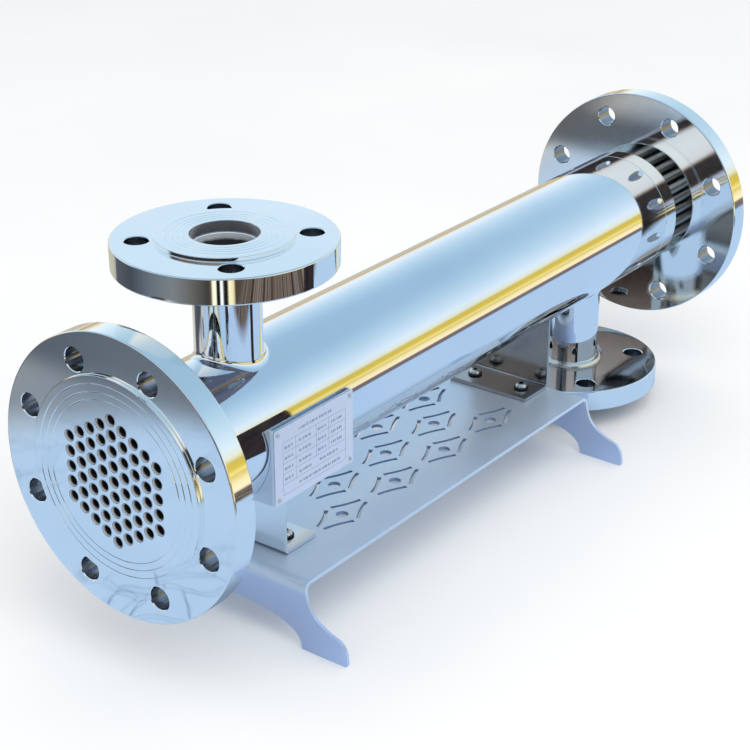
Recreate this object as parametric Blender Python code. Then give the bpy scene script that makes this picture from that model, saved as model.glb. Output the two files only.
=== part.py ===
"""Double-tube-sheet shell-and-tube heat exchanger on a folded sheet bench.

The shell lies along X, with its tube-side openings at both ends and its two
branches near the ends, one pointing up and one pointing down. Each end has an
inner tube sheet, an open inspection gap and an outer tube sheet that is also
the pipe flange. Units are metres, +Z is up, and the origin is on the floor
under the middle of the whole object.
"""

import math

import bmesh
import bpy
from mathutils import Vector

# Clearance between two pieces that touch on the real object.
GAP = 0.0003

# Outer tube sheets: DN 100, PN 16 plate flanges, drilled for the tubes.
SHEET_OD = 0.220
SHEET_THICKNESS = 0.020
SHEET_BOLT_CIRCLE = 0.180
SHEET_BOLTS = 8
SHEET_FACE_OD = 0.158
RAISED_FACE = 0.003
BOLT_HOLE = 0.018
CHAMFER = 0.001

# Shell: 114 mm pipe with a 2 mm wall, closed by two inner tube sheets.
SHELL_OD = 0.114
SHELL_WALL = 0.002
SPAN = 0.700
INSPECTION_GAP = 0.017
INNER_SHEET_THICKNESS = 0.019
AXIS_HEIGHT = 0.165

# Tubes: 9.5 mm, on a triangular pitch in a regular hexagon of five rings.
TUBE_OD = 0.0095
TUBE_WALL = 0.0007
TUBE_PITCH = 0.012
TUBE_RINGS = 4

# Branches: DN 50, PN 16 plate flanges on 51 mm pipe.
BRANCH_OD = 0.051
BRANCH_WALL = 0.0012
BRANCH_FLANGE_OD = 0.165
BRANCH_FLANGE_THICKNESS = 0.020
BRANCH_BOLT_CIRCLE = 0.125
BRANCH_BOLTS = 4
BRANCH_FACE_OD = 0.102
BRANCH_REACH = 0.145
PIPE_SETBACK = 0.006
SHELL_FILLET = 0.008
FILLET_EDGE = 0.0005
FLANGE_FILLET = 0.0045
TOP_BRANCH_FROM_SHEET = 0.101
BOTTOM_BRANCH_FROM_SHEET = 0.107

# Baffles: segmental plates on two tie rods.
BAFFLES = 3
BAFFLE_THICKNESS = 0.003
BAFFLE_WINDOW = 0.033
TIE_ROD_OD = 0.005
TIE_ROD_OFFSET = 0.0505
ROD_BEYOND_BAFFLE = 0.012

# Bench: one folded sheet, its two end plates cut to an arch between flared feet.
SHEET_METAL = 0.003
BENCH_START = -0.263
BENCH_LENGTH = 0.406
BENCH_HEIGHT = 0.0575
BENCH_HALF_WIDTH = 0.0785
BENCH_BEND = 0.008
FOOT_HALF_WIDTH = 0.118
FOOT_INNER = 0.075
ARCH_HEIGHT = 0.025
ARCH_POWER = 2.5
FOOT_CORNER = 0.0015
FOOT_SHOULDER = (0.111, 0.0195)
FLANK_HANDLES = ((0.0795, 0.0315), (0.0915, 0.0255))
TOE_HANDLES = ((0.116, 0.0165), (0.118, 0.011))

# Pattern punched in the bench top: rhombic units of four bowed slits round a hole.
UNITS_CENTRE_X = -0.056
UNIT_SPACING = 0.0705
UNIT_ROW_OFFSET = 0.0355
SLIT_START = (0.003, 0.014)
SLIT_END = (0.0275, 0.003)
SLIT_BOW = 0.0012
SLIT_WIDTH = 0.003
UNIT_HOLE = 0.010

# Saddles: bent brackets that carry the shell.
SADDLE_WIDTH = 0.082
SADDLE_FOOT = 0.038
SADDLE_BEND = 0.005
FRONT_SADDLE_X = -0.2395
REAR_SADDLE_X = 0.1360
SCREW_FROM_PLATE = 0.0205
SCREW_SPACING = 0.050

# M6 button-head screws with sealing washers and hexagon nuts.
SCREW_OD = 0.006
SCREW_HOLE = 0.0068
THREAD_CHAMFER = 0.0005
HEAD_OD = 0.0105
HEAD_TOP_OD = 0.006
HEAD_HEIGHT = 0.0033
SOCKET_RADIUS = 0.0023
SOCKET_DEPTH = 0.0019
WASHER_OD = 0.0128
WASHER_THICKNESS = 0.0012
NUT_RADIUS = 0.0058
NUT_HEIGHT = 0.005
THREAD_BEYOND_NUT = 0.0015

# Nameplate on its bent carrier, on the side of the shell.
PLATE_WIDTH = 0.092
PLATE_HEIGHT = 0.061
PLATE_THICKNESS = 0.0008
CARRIER_THICKNESS = 0.0015
PLATE_LEFT = -0.2724
PLATE_BOTTOM = 0.1205
CARRIER_CLEARANCE = 0.0015
RIVET_HEAD = 0.0036
RIVET_SHANK = 0.0020
RIVET_HOLE = 0.0027
RIVET_HEAD_HEIGHT = 0.0010
RIVET_INSET = 0.0040

# Facet counts of the turned pieces.
LARGE_ROUND = 48
MEDIUM_ROUND = 36
PIPE_ROUND = 24
SMALL_ROUND = 12
TUBE_ROUND = 8
HEXAGON = 6
BEND_STEPS = 5
FILLET_STEPS = 4
SADDLE_STEPS = 3
FLANK_STEPS = 8
ARCH_STEPS = 12
DOME_STEPS = 3

ALONG_X = (0.0, math.pi / 2, 0.0)
AGAINST_X = (0.0, -math.pi / 2, 0.0)
AGAINST_Y = (math.pi / 2, 0.0, 0.0)
UPSIDE_DOWN = (math.pi, 0.0, 0.0)
UPRIGHT = (0.0, 0.0, 0.0)
SMOOTH_ANGLE = math.radians(35)


def clear_scene():
    for obj in list(bpy.data.objects):
        bpy.data.objects.remove(obj, do_unlink=True)


def make_material(name, colour, roughness, metallic):
    material = bpy.data.materials.new(name)
    material.use_nodes = True
    shader = material.node_tree.nodes["Principled BSDF"]
    shader.inputs["Base Color"].default_value = (*colour, 1.0)
    shader.inputs["Roughness"].default_value = roughness
    shader.inputs["Metallic"].default_value = metallic
    material.diffuse_color = (*colour, 1.0)
    return material


def add_object(name, mesh_builder, material, location=(0, 0, 0), rotation=UPRIGHT):
    """Turns a bmesh into a placed object with outward faces and smooth round sides."""
    bmesh.ops.recalc_face_normals(mesh_builder, faces=mesh_builder.faces)
    mesh = bpy.data.meshes.new(name)
    mesh_builder.to_mesh(mesh)
    mesh_builder.free()
    mesh.materials.append(material)
    mesh.shade_smooth()
    mesh.set_sharp_from_angle(angle=SMOOTH_ANGLE)
    obj = bpy.data.objects.new(name, mesh)
    obj.location = location
    obj.rotation_euler = rotation
    bpy.context.scene.collection.objects.link(obj)
    return obj


def turned(profile, segments, closed):
    """Spins (radius, height) points about local Z: a ring if closed, else a solid."""
    mesh_builder = bmesh.new()
    points = [mesh_builder.verts.new((radius, 0.0, height)) for radius, height in profile]
    edges = [mesh_builder.edges.new(pair) for pair in zip(points, points[1:])]
    if closed:
        edges.append(mesh_builder.edges.new((points[-1], points[0])))
    bmesh.ops.spin(
        mesh_builder,
        geom=points + edges,
        cent=(0, 0, 0),
        axis=(0, 0, 1),
        angle=2 * math.pi,
        steps=segments,
        use_merge=True,
    )
    bmesh.ops.remove_doubles(mesh_builder, verts=mesh_builder.verts, dist=1e-6)
    return mesh_builder


def ring_profile(inner, outer, start, end):
    return [(inner, start), (outer, start), (outer, end), (inner, end)]


def add_prism(mesh_builder, outline, vector):
    """Adds a flat outline of points, closed into a prism along the vector."""
    face = mesh_builder.faces.new([mesh_builder.verts.new(point) for point in outline])
    grown = bmesh.ops.extrude_face_region(mesh_builder, geom=[face])
    moved = [item for item in grown["geom"] if isinstance(item, bmesh.types.BMVert)]
    bmesh.ops.translate(mesh_builder, verts=moved, vec=vector)


def extruded(outline, vector):
    mesh_builder = bmesh.new()
    add_prism(mesh_builder, outline, vector)
    return mesh_builder


def pegs(places, segments, start, end):
    """One mesh of upright cylinders, given as ((x, y), radius), from start to end."""
    mesh_builder = bmesh.new()
    for (x, y), radius in places:
        peg = bmesh.ops.create_cone(
            mesh_builder,
            cap_ends=True,
            segments=segments,
            radius1=radius,
            radius2=radius,
            depth=end - start,
        )
        bmesh.ops.translate(mesh_builder, verts=peg["verts"], vec=(x, y, (start + end) / 2))
    return mesh_builder


def boolean(obj, cutter, operation="DIFFERENCE"):
    """Applies a cutter through a modifier, and hides the cutter from renders."""
    cutter.hide_render = True
    cutter.display_type = "WIRE"
    modifier = obj.modifiers.new(cutter.name, "BOOLEAN")
    modifier.operation = operation
    modifier.solver = "EXACT"
    modifier.object = cutter


def drill(obj, places, segments, start, end):
    """Drills holes along the object's own Z, each given as ((x, y), radius)."""
    number = len(obj.modifiers)
    cutter = add_object(
        f"{obj.name}_drill_{number}",
        pegs(places, segments, start, end),
        obj.active_material,
        obj.location,
        obj.rotation_euler,
    )
    boolean(obj, cutter)


def circle_places(count, diameter, radius, phase):
    """Holes of one radius spread on a pitch circle."""
    angles = [phase + 2 * math.pi * index / count for index in range(count)]
    return [
        ((diameter / 2 * math.cos(angle), diameter / 2 * math.sin(angle)), radius)
        for angle in angles
    ]


def tube_places():
    """Tube centres in a hexagon with a corner at the top, inner rings first."""
    places = []
    for ring in range(TUBE_RINGS + 1):
        corners = [
            Vector((math.cos(k * math.pi / 3), math.sin(k * math.pi / 3))) * ring * TUBE_PITCH
            for k in range(7)
        ]
        if ring == 0:
            places.append((0.0, 0.0))
        for start, end in zip(corners, corners[1:]):
            places += [tuple(start.lerp(end, step / ring)) for step in range(ring)]
    return places


def outer_ring_places():
    return tube_places()[-6 * TUBE_RINGS:]


def clearance_holes(places, diameter):
    return [(place, diameter / 2 + GAP) for place in places]


def sheet_blank():
    """Flange disc with a chamfered rim and a raised face on its outer side."""
    radius = SHEET_OD / 2
    face = SHEET_THICKNESS + RAISED_FACE
    return [
        (0, 0),
        (radius - CHAMFER, 0),
        (radius, CHAMFER),
        (radius, SHEET_THICKNESS - CHAMFER),
        (radius - CHAMFER, SHEET_THICKNESS),
        (SHEET_FACE_OD / 2, SHEET_THICKNESS),
        (SHEET_FACE_OD / 2, face),
        (0, face),
    ]


def outer_tube_sheet(name, inner_face_x, rotation, material):
    place = (inner_face_x, 0, AXIS_HEIGHT)
    sheet = add_object(
        name, turned(sheet_blank(), LARGE_ROUND, closed=False), material, place, rotation
    )
    below, above = -CHAMFER, SHEET_THICKNESS + RAISED_FACE + CHAMFER
    half_step = math.pi / SHEET_BOLTS
    bolts = circle_places(SHEET_BOLTS, SHEET_BOLT_CIRCLE, BOLT_HOLE / 2, half_step)
    drill(sheet, bolts, SMALL_ROUND, below, above)
    drill(sheet, clearance_holes(tube_places(), TUBE_OD), TUBE_ROUND, below, above)


def inner_tube_sheet(name, start_x, material):
    radius = SHELL_OD / 2
    sheet = add_object(
        name,
        turned([(0, 0), (radius, 0), (radius, INNER_SHEET_THICKNESS), (0, INNER_SHEET_THICKNESS)],
               LARGE_ROUND, closed=False),
        material,
        (start_x, 0, AXIS_HEIGHT),
        ALONG_X,
    )
    holes = clearance_holes(outer_ring_places(), TUBE_OD)
    drill(sheet, holes, TUBE_ROUND, -CHAMFER, INNER_SHEET_THICKNESS + CHAMFER)


def shell(start_x, end_x, branches, material):
    """The pipe between the inner tube sheets, opened under each branch."""
    radius = SHELL_OD / 2
    body = add_object(
        "shell",
        turned(ring_profile(radius - SHELL_WALL, radius, 0, end_x - start_x),
               LARGE_ROUND, closed=True),
        material,
        (start_x, 0, AXIS_HEIGHT),
        ALONG_X,
    )
    bore = BRANCH_OD / 2 - BRANCH_WALL
    for name, x, rotation in branches:
        cutter = add_object(
            f"{name}_port",
            pegs([((0, 0), bore)], PIPE_ROUND, radius / 2, SHELL_OD),
            material,
            (x, 0, AXIS_HEIGHT),
            rotation,
        )
        boolean(body, cutter)


def branch_sections():
    """Rings of a set-on branch as (radius, height, follows the shell)."""
    outer = BRANCH_OD / 2
    inner = outer - BRANCH_WALL
    flange_back = BRANCH_REACH - BRANCH_FLANGE_THICKNESS - GAP
    sections = [(inner, 0, True), (outer, 0, True)]
    for step in range(FILLET_STEPS + 1):
        angle = math.pi / 2 * step / FILLET_STEPS
        radius = outer + SHELL_FILLET * (1 - math.sin(angle))
        rise = SHELL_FILLET * (1 - math.cos(angle))
        sections.append((radius, rise + (FILLET_EDGE if step else 0), True))
    sections += [
        (outer, flange_back - FLANGE_FILLET, False),
        (outer + FLANGE_FILLET, flange_back, False),
        (outer, flange_back, False),
        (outer, BRANCH_REACH - PIPE_SETBACK, False),
        (inner, BRANCH_REACH - PIPE_SETBACK, False),
    ]
    return sections


def branch_pipe(name, x, rotation, material):
    """A pipe whose foot is shaped to the shell, with a fillet at each end."""
    mesh_builder = bmesh.new()
    rings = []
    for radius, height, follows_shell in branch_sections():
        ring = []
        for step in range(PIPE_ROUND):
            angle = 2 * math.pi * step / PIPE_ROUND
            across = radius * math.sin(angle)
            surface = math.sqrt((SHELL_OD / 2 + GAP) ** 2 - across**2)
            z = height + surface if follows_shell else height
            ring.append(mesh_builder.verts.new((radius * math.cos(angle), across, z)))
        rings.append(ring)
    for ring, following in zip(rings, rings[1:] + rings[:1]):
        for step in range(PIPE_ROUND):
            turn = (step + 1) % PIPE_ROUND
            mesh_builder.faces.new((ring[step], ring[turn], following[turn], following[step]))
    add_object(name, mesh_builder, material, (x, 0, AXIS_HEIGHT), rotation)


def branch_flange(name, x, rotation, material):
    bore = BRANCH_OD / 2 + GAP
    radius = BRANCH_FLANGE_OD / 2
    back = BRANCH_REACH - BRANCH_FLANGE_THICKNESS
    face = BRANCH_REACH + RAISED_FACE
    profile = [
        (bore, back),
        (radius - CHAMFER, back),
        (radius, back + CHAMFER),
        (radius, BRANCH_REACH - CHAMFER),
        (radius - CHAMFER, BRANCH_REACH),
        (BRANCH_FACE_OD / 2, BRANCH_REACH),
        (BRANCH_FACE_OD / 2, face),
        (bore, face),
    ]
    flange = add_object(
        name,
        turned(profile, MEDIUM_ROUND, closed=True),
        material,
        (x, 0, AXIS_HEIGHT),
        rotation,
    )
    bolts = circle_places(BRANCH_BOLTS, BRANCH_BOLT_CIRCLE, BOLT_HOLE / 2, math.pi / 4)
    drill(flange, bolts, SMALL_ROUND, back - CHAMFER, face + CHAMFER)


def tubes(material):
    """The tubes of the outer ring, each from face to face of the outer tube sheets."""
    length = SPAN + 2 * (SHEET_THICKNESS + RAISED_FACE)
    radius = TUBE_OD / 2
    for number, (down, across) in enumerate(outer_ring_places(), start=1):
        add_object(
            f"tube_{number:02d}",
            turned(ring_profile(radius - TUBE_WALL, radius, 0, length), TUBE_ROUND, closed=True),
            material,
            (-length / 2, across, AXIS_HEIGHT - down),
            ALONG_X,
        )


def baffles(start_x, end_x, material):
    """Segmental plates, open at the bottom and the top in turn."""
    radius = SHELL_OD / 2 - SHELL_WALL - GAP
    spacing = (end_x - start_x) / (BAFFLES + 1)
    rods = [((0, side * TIE_ROD_OFFSET), TIE_ROD_OD / 2 + GAP) for side in (-1, 1)]
    for number in range(1, BAFFLES + 1):
        profile = [(0, 0), (radius, 0), (radius, BAFFLE_THICKNESS), (0, BAFFLE_THICKNESS)]
        baffle = add_object(
            f"baffle_{number}",
            turned(profile, LARGE_ROUND, closed=False),
            material,
            (start_x + number * spacing, 0, AXIS_HEIGHT),
            ALONG_X,
        )
        side = 1 if number % 2 else -1
        edges = sorted((side * BAFFLE_WINDOW, side * SHELL_OD))
        window = [(edges[0], -SHELL_OD, -CHAMFER), (edges[1], -SHELL_OD, -CHAMFER),
                  (edges[1], SHELL_OD, -CHAMFER), (edges[0], SHELL_OD, -CHAMFER)]
        cutter = add_object(
            f"baffle_window_{number}",
            extruded(window, (0, 0, BAFFLE_THICKNESS + 2 * CHAMFER)),
            material,
            baffle.location,
            ALONG_X,
        )
        boolean(baffle, cutter)
        depth = BAFFLE_THICKNESS + CHAMFER
        drill(baffle, clearance_holes(outer_ring_places(), TUBE_OD), TUBE_ROUND, -CHAMFER, depth)
        drill(baffle, rods, TUBE_ROUND, -CHAMFER, depth)


def tie_rods(start_x, end_x, material):
    """Rods that hold the baffles, from the near inner tube sheet to past the last one."""
    reach = (end_x - start_x) * BAFFLES / (BAFFLES + 1) + ROD_BEYOND_BAFFLE
    for number, side in enumerate((-1, 1), start=1):
        profile = [(0, GAP), (TIE_ROD_OD / 2, GAP), (TIE_ROD_OD / 2, reach), (0, reach)]
        add_object(
            f"tie_rod_{number}",
            turned(profile, TUBE_ROUND, closed=False),
            material,
            (start_x, side * TIE_ROD_OFFSET, AXIS_HEIGHT),
            ALONG_X,
        )


def arc(centre, radius, start, end, steps):
    """Points on an arc, with its angles in degrees."""
    points = []
    for step in range(steps + 1):
        angle = math.radians(start + (end - start) * step / steps)
        points.append((centre[0] + radius * math.cos(angle), centre[1] + radius * math.sin(angle)))
    return points


def bezier(p0, p1, p2, p3, steps):
    """Points on a cubic curve, both ends included."""
    points = []
    for step in range(steps + 1):
        t = step / steps
        weights = ((1 - t) ** 3, 3 * t * (1 - t) ** 2, 3 * t * t * (1 - t), t**3)
        points.append(
            tuple(sum(w * p[i] for w, p in zip(weights, (p0, p1, p2, p3))) for i in (0, 1))
        )
    return points


def bench_strip():
    """The folded strip in the XZ plane: a flat top and two end plates, as an outline."""
    start, end = BENCH_START, BENCH_START + BENCH_LENGTH
    bend, thickness, top = BENCH_BEND, SHEET_METAL, BENCH_HEIGHT
    inside = bend - thickness
    outline = [(start, -thickness)]
    outline += arc((start + bend, top - bend), bend, 180, 90, BEND_STEPS)
    outline += arc((end - bend, top - bend), bend, 90, 0, BEND_STEPS)
    outline += [(end, -thickness), (end - thickness, -thickness)]
    outline += arc((end - bend, top - bend), inside, 0, 90, BEND_STEPS)
    outline += arc((start + bend, top - bend), inside, 90, 180, BEND_STEPS)
    outline += [(start + thickness, -thickness)]
    return outline


def bench_silhouette():
    """The end view in the YZ plane: flared feet on each side of a flat arch."""
    flank_top = (BENCH_HALF_WIDTH, BENCH_HEIGHT)
    toe_end = (FOOT_HALF_WIDTH, FOOT_CORNER)
    flank = bezier(flank_top, *FLANK_HANDLES, FOOT_SHOULDER, FLANK_STEPS)
    toe = bezier(FOOT_SHOULDER, *TOE_HANDLES, toe_end, FLANK_STEPS // 2)
    corner = arc((FOOT_HALF_WIDTH - FOOT_CORNER, FOOT_CORNER), FOOT_CORNER, 0, -90, 2)
    arch = []
    for step in range(ARCH_STEPS):
        y = FOOT_INNER * math.cos(math.pi / 2 * step / ARCH_STEPS)
        z = ARCH_HEIGHT * (1 - (y / FOOT_INNER) ** ARCH_POWER) ** (1 / ARCH_POWER)
        arch.append((y, z))
    half = [(BENCH_HALF_WIDTH, BENCH_HEIGHT + SHEET_METAL)] + flank + toe[1:] + corner[1:] + arch
    other_half = [(-y, z) for y, z in reversed(half)]
    return half + [(0.0, ARCH_HEIGHT)] + other_half


def unit_places():
    """Centres of the punched units in X and Y: three in the middle row, four beside it."""
    rows = [(0.0, (-1, 0, 1)), (UNIT_ROW_OFFSET, (-1.5, -0.5, 0.5, 1.5))]
    rows.append((-UNIT_ROW_OFFSET, rows[1][1]))
    return [(UNITS_CENTRE_X + step * UNIT_SPACING, y) for y, steps in rows for step in steps]


def slit_outline():
    """One slit of a unit, from its corner on Y towards its corner on X, bowed inwards."""
    start, end = Vector(SLIT_START), Vector(SLIT_END)
    outwards = (end - start).orthogonal().normalized()
    if outwards.dot(start) < 0:
        outwards.negate()
    middle = (start + end) / 2 - outwards * SLIT_BOW
    half = outwards * SLIT_WIDTH / 2
    line = (start, middle, end)
    return [point + half for point in line] + [point - half for point in reversed(line)]


def punched_pattern(start, end):
    """Cutters for every slit and hole of the pattern, from one height to another."""
    mesh_builder = pegs([(place, UNIT_HOLE / 2) for place in unit_places()],
                        SMALL_ROUND, start, end)
    slit = slit_outline()
    for x, y in unit_places():
        for side_x, side_y in ((1, 1), (-1, 1), (-1, -1), (1, -1)):
            outline = [(x + side_x * along, y + side_y * across, start) for along, across in slit]
            add_prism(mesh_builder, outline, (0, 0, end - start))
    return mesh_builder


def bench(material):
    strip = [(x, -FOOT_HALF_WIDTH - BENCH_BEND, z) for x, z in bench_strip()]
    depth = 2 * (FOOT_HALF_WIDTH + BENCH_BEND)
    body = add_object("bench", extruded(strip, (0, depth, 0)), material)
    outline = [(BENCH_START - BENCH_BEND, y, z) for y, z in bench_silhouette()]
    cutter = add_object(
        "bench_silhouette",
        extruded(outline, (BENCH_LENGTH + 2 * BENCH_BEND, 0, 0)),
        material,
    )
    boolean(body, cutter, "INTERSECT")
    below, above = BENCH_HEIGHT - 2 * SHEET_METAL, BENCH_HEIGHT + SHEET_METAL
    boolean(body, add_object("bench_pattern", punched_pattern(below, above), material))
    holes = [(place, SCREW_HOLE / 2) for place in screw_places()]
    drill(body, holes, SMALL_ROUND, below, above)


def screw_places():
    """Screw centres in X and Y: two in the foot of each saddle."""
    xs = (FRONT_SADDLE_X + SCREW_FROM_PLATE, REAR_SADDLE_X - SCREW_FROM_PLATE)
    return [(x, side * SCREW_SPACING / 2) for x in xs for side in (-1, 1)]


def saddle(name, plate_x, direction, material):
    """A bracket: a plate across the shell, with a foot bent along it and a cradle cut in it."""
    bottom = BENCH_HEIGHT + GAP
    thickness, bend = SHEET_METAL, SADDLE_BEND
    outline = [(SADDLE_FOOT, bottom), (SADDLE_FOOT, bottom + thickness)]
    outline += arc((bend, bottom + bend), bend - thickness, 270, 180, SADDLE_STEPS)
    outline += [(thickness, AXIS_HEIGHT), (0, AXIS_HEIGHT)]
    outline += arc((bend, bottom + bend), bend, 180, 270, SADDLE_STEPS + 1)
    points = [(plate_x + direction * x, -SADDLE_WIDTH / 2, z) for x, z in outline]
    body = add_object(name, extruded(points, (0, SADDLE_WIDTH, 0)), material)
    cutter = add_object(
        f"{name}_cradle",
        pegs([((0, 0), SHELL_OD / 2 + GAP)], LARGE_ROUND, -SADDLE_FOOT, 2 * SADDLE_FOOT),
        material,
        (plate_x - SADDLE_FOOT / 2, 0, AXIS_HEIGHT),
        ALONG_X,
    )
    boolean(body, cutter)
    holes = [(place, SCREW_HOLE / 2) for place in screw_places()]
    drill(body, holes, SMALL_ROUND, BENCH_HEIGHT - SHEET_METAL, bottom + 2 * thickness)


def dome(base_radius, top_radius, height):
    """Points of a rounded head as (radius, height), from its rim to its flat top."""
    points = []
    for step in range(DOME_STEPS + 1):
        angle = math.pi / 2 * step / DOME_STEPS
        spread = (base_radius - top_radius) * math.cos(angle)
        points.append((top_radius + spread, height * math.sin(angle)))
    return points


def screw(number, place, material):
    """Button-head screw with a hexagon socket, standing on its washer."""
    seat = BENCH_HEIGHT + GAP + SHEET_METAL + GAP + WASHER_THICKNESS + GAP
    nut_end = BENCH_HEIGHT - SHEET_METAL - GAP - NUT_HEIGHT
    tip = nut_end - THREAD_BEYOND_NUT - seat
    radius = SCREW_OD / 2
    profile = [(0, tip), (radius - THREAD_CHAMFER, tip), (radius, tip + THREAD_CHAMFER)]
    profile += [(radius, 0)] + dome(HEAD_OD / 2, HEAD_TOP_OD / 2, HEAD_HEIGHT)
    profile.append((0, HEAD_HEIGHT))
    body = add_object(
        f"saddle_screw_{number}",
        turned(profile, SMALL_ROUND, closed=False),
        material,
        (*place, seat),
    )
    drill(body, [((0, 0), SOCKET_RADIUS)], HEXAGON, HEAD_HEIGHT - SOCKET_DEPTH, 2 * HEAD_HEIGHT)


def washer(number, place, material):
    seat = BENCH_HEIGHT + SHEET_METAL + 2 * GAP
    profile = ring_profile(SCREW_HOLE / 2, WASHER_OD / 2, 0, WASHER_THICKNESS)
    ring = turned(profile, SMALL_ROUND, closed=True)
    add_object(f"saddle_washer_{number}", ring, material, (*place, seat))


def nut(number, place, material):
    seat = BENCH_HEIGHT - SHEET_METAL - GAP
    body = add_object(
        f"saddle_nut_{number}",
        pegs([((0, 0), NUT_RADIUS)], HEXAGON, -NUT_HEIGHT, 0),
        material,
        (*place, seat),
    )
    drill(body, [((0, 0), SCREW_OD / 2 + GAP)], SMALL_ROUND, -2 * NUT_HEIGHT, NUT_HEIGHT)


def rivet_places():
    """Rivet centres in X and Z, at the corners of the nameplate."""
    xs = (PLATE_LEFT + RIVET_INSET, PLATE_LEFT + PLATE_WIDTH - RIVET_INSET)
    zs = (PLATE_BOTTOM + RIVET_INSET, PLATE_BOTTOM + PLATE_HEIGHT - RIVET_INSET)
    return [(x, z) for x in xs for z in zs]


def plate_front_y():
    return -SHELL_OD / 2 - CARRIER_CLEARANCE - CARRIER_THICKNESS


def rivet_drill(obj):
    """Four holes along Y through a plate."""
    places = [((x, z), RIVET_HOLE / 2) for x, z in rivet_places()]
    reach = 3 * CARRIER_THICKNESS
    cutter = add_object(
        f"{obj.name}_drill",
        pegs(places, TUBE_ROUND, -reach, reach),
        obj.active_material,
        (0, plate_front_y(), 0),
        AGAINST_Y,
    )
    boolean(obj, cutter)


def nameplate_carrier(material):
    """A sheet channel: a flat front, and two sides that reach back to the shell."""
    front = plate_front_y()
    left, right = PLATE_LEFT, PLATE_LEFT + PLATE_WIDTH
    wall = CARRIER_THICKNESS
    outline = [
        (left, front), (right, front), (right, 0), (right - wall, 0),
        (right - wall, front + wall), (left + wall, front + wall), (left + wall, 0), (left, 0),
    ]
    points = [(x, y, PLATE_BOTTOM) for x, y in outline]
    body = add_object("nameplate_carrier", extruded(points, (0, 0, PLATE_HEIGHT)), material)
    cutter = add_object(
        "nameplate_carrier_cradle",
        pegs([((0, 0), SHELL_OD / 2 + GAP)], LARGE_ROUND, -PLATE_WIDTH, PLATE_WIDTH),
        material,
        ((left + right) / 2, 0, AXIS_HEIGHT),
        ALONG_X,
    )
    boolean(body, cutter)
    return body


def nameplate(material):
    back = plate_front_y() - GAP
    front = back - PLATE_THICKNESS
    left, right = PLATE_LEFT, PLATE_LEFT + PLATE_WIDTH
    corners = ((left, front), (right, front), (right, back), (left, back))
    outline = [(x, y, PLATE_BOTTOM) for x, y in corners]
    return add_object("nameplate", extruded(outline, (0, 0, PLATE_HEIGHT)), material)


def rivet(number, place, material):
    seat = plate_front_y() - GAP - PLATE_THICKNESS - GAP
    tail = -(PLATE_THICKNESS + CARRIER_THICKNESS)
    profile = [(0, tail), (RIVET_SHANK / 2, tail), (RIVET_SHANK / 2, 0)]
    profile += dome(RIVET_HEAD / 2, 0, RIVET_HEAD_HEIGHT)
    add_object(
        f"nameplate_rivet_{number}",
        turned(profile, TUBE_ROUND, closed=False),
        material,
        (place[0], seat, place[1]),
        AGAINST_Y,
    )


def main():
    clear_scene()
    polished = make_material("polished_steel", (0.80, 0.83, 0.88), 0.06, 1.0)
    machined = make_material("machined_steel", (0.70, 0.73, 0.78), 0.18, 1.0)
    tube_steel = make_material("tube_steel", (0.45, 0.46, 0.48), 0.30, 1.0)
    satin = make_material("satin_steel", (0.60, 0.66, 0.74), 0.35, 1.0)
    bracket_steel = make_material("bracket_steel", (0.42, 0.40, 0.36), 0.22, 1.0)
    fastener = make_material("fastener_steel", (0.72, 0.72, 0.70), 0.25, 1.0)
    rubber = make_material("black_rubber", (0.02, 0.02, 0.02), 0.6, 0.0)
    plate_metal = make_material("nameplate_metal", (0.75, 0.82, 0.88), 0.30, 1.0)

    near_face, far_face = -SPAN / 2, SPAN / 2
    near_shell = near_face + INSPECTION_GAP + INNER_SHEET_THICKNESS + GAP
    far_shell = far_face - INSPECTION_GAP - INNER_SHEET_THICKNESS - GAP
    branches = [
        ("top", near_face + TOP_BRANCH_FROM_SHEET, UPRIGHT),
        ("bottom", far_face - BOTTOM_BRANCH_FROM_SHEET, UPSIDE_DOWN),
    ]

    outer_tube_sheet("near_outer_tube_sheet", near_face, AGAINST_X, machined)
    outer_tube_sheet("far_outer_tube_sheet", far_face, ALONG_X, machined)
    inner_tube_sheet("near_inner_tube_sheet", near_face + INSPECTION_GAP, polished)
    inner_tube_sheet("far_inner_tube_sheet", far_shell + GAP, polished)
    shell(near_shell, far_shell, branches, polished)
    for side, x, rotation in branches:
        branch_pipe(f"{side}_branch_pipe", x, rotation, polished)
        branch_flange(f"{side}_branch_flange", x, rotation, polished)
    tubes(tube_steel)
    baffles(near_shell, far_shell, satin)
    tie_rods(near_shell, far_shell, satin)

    bench(satin)
    saddle("front_saddle", FRONT_SADDLE_X, 1, bracket_steel)
    saddle("rear_saddle", REAR_SADDLE_X, -1, bracket_steel)
    for number, place in enumerate(screw_places(), start=1):
        screw(number, place, fastener)
        washer(number, place, rubber)
        nut(number, place, fastener)

    for plate in (nameplate_carrier(satin), nameplate(plate_metal)):
        rivet_drill(plate)
    for number, place in enumerate(rivet_places(), start=1):
        rivet(number, place, fastener)


main()
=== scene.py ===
"""Looks of the double-tube-sheet heat exchanger: finer pieces, materials, light and camera.

Every piece is worked out from the boxes of the CAD nodes that it replaces. Units are
metres, +Z is up, and X runs along the shell from the near flange to the far one.
"""

import math

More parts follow.
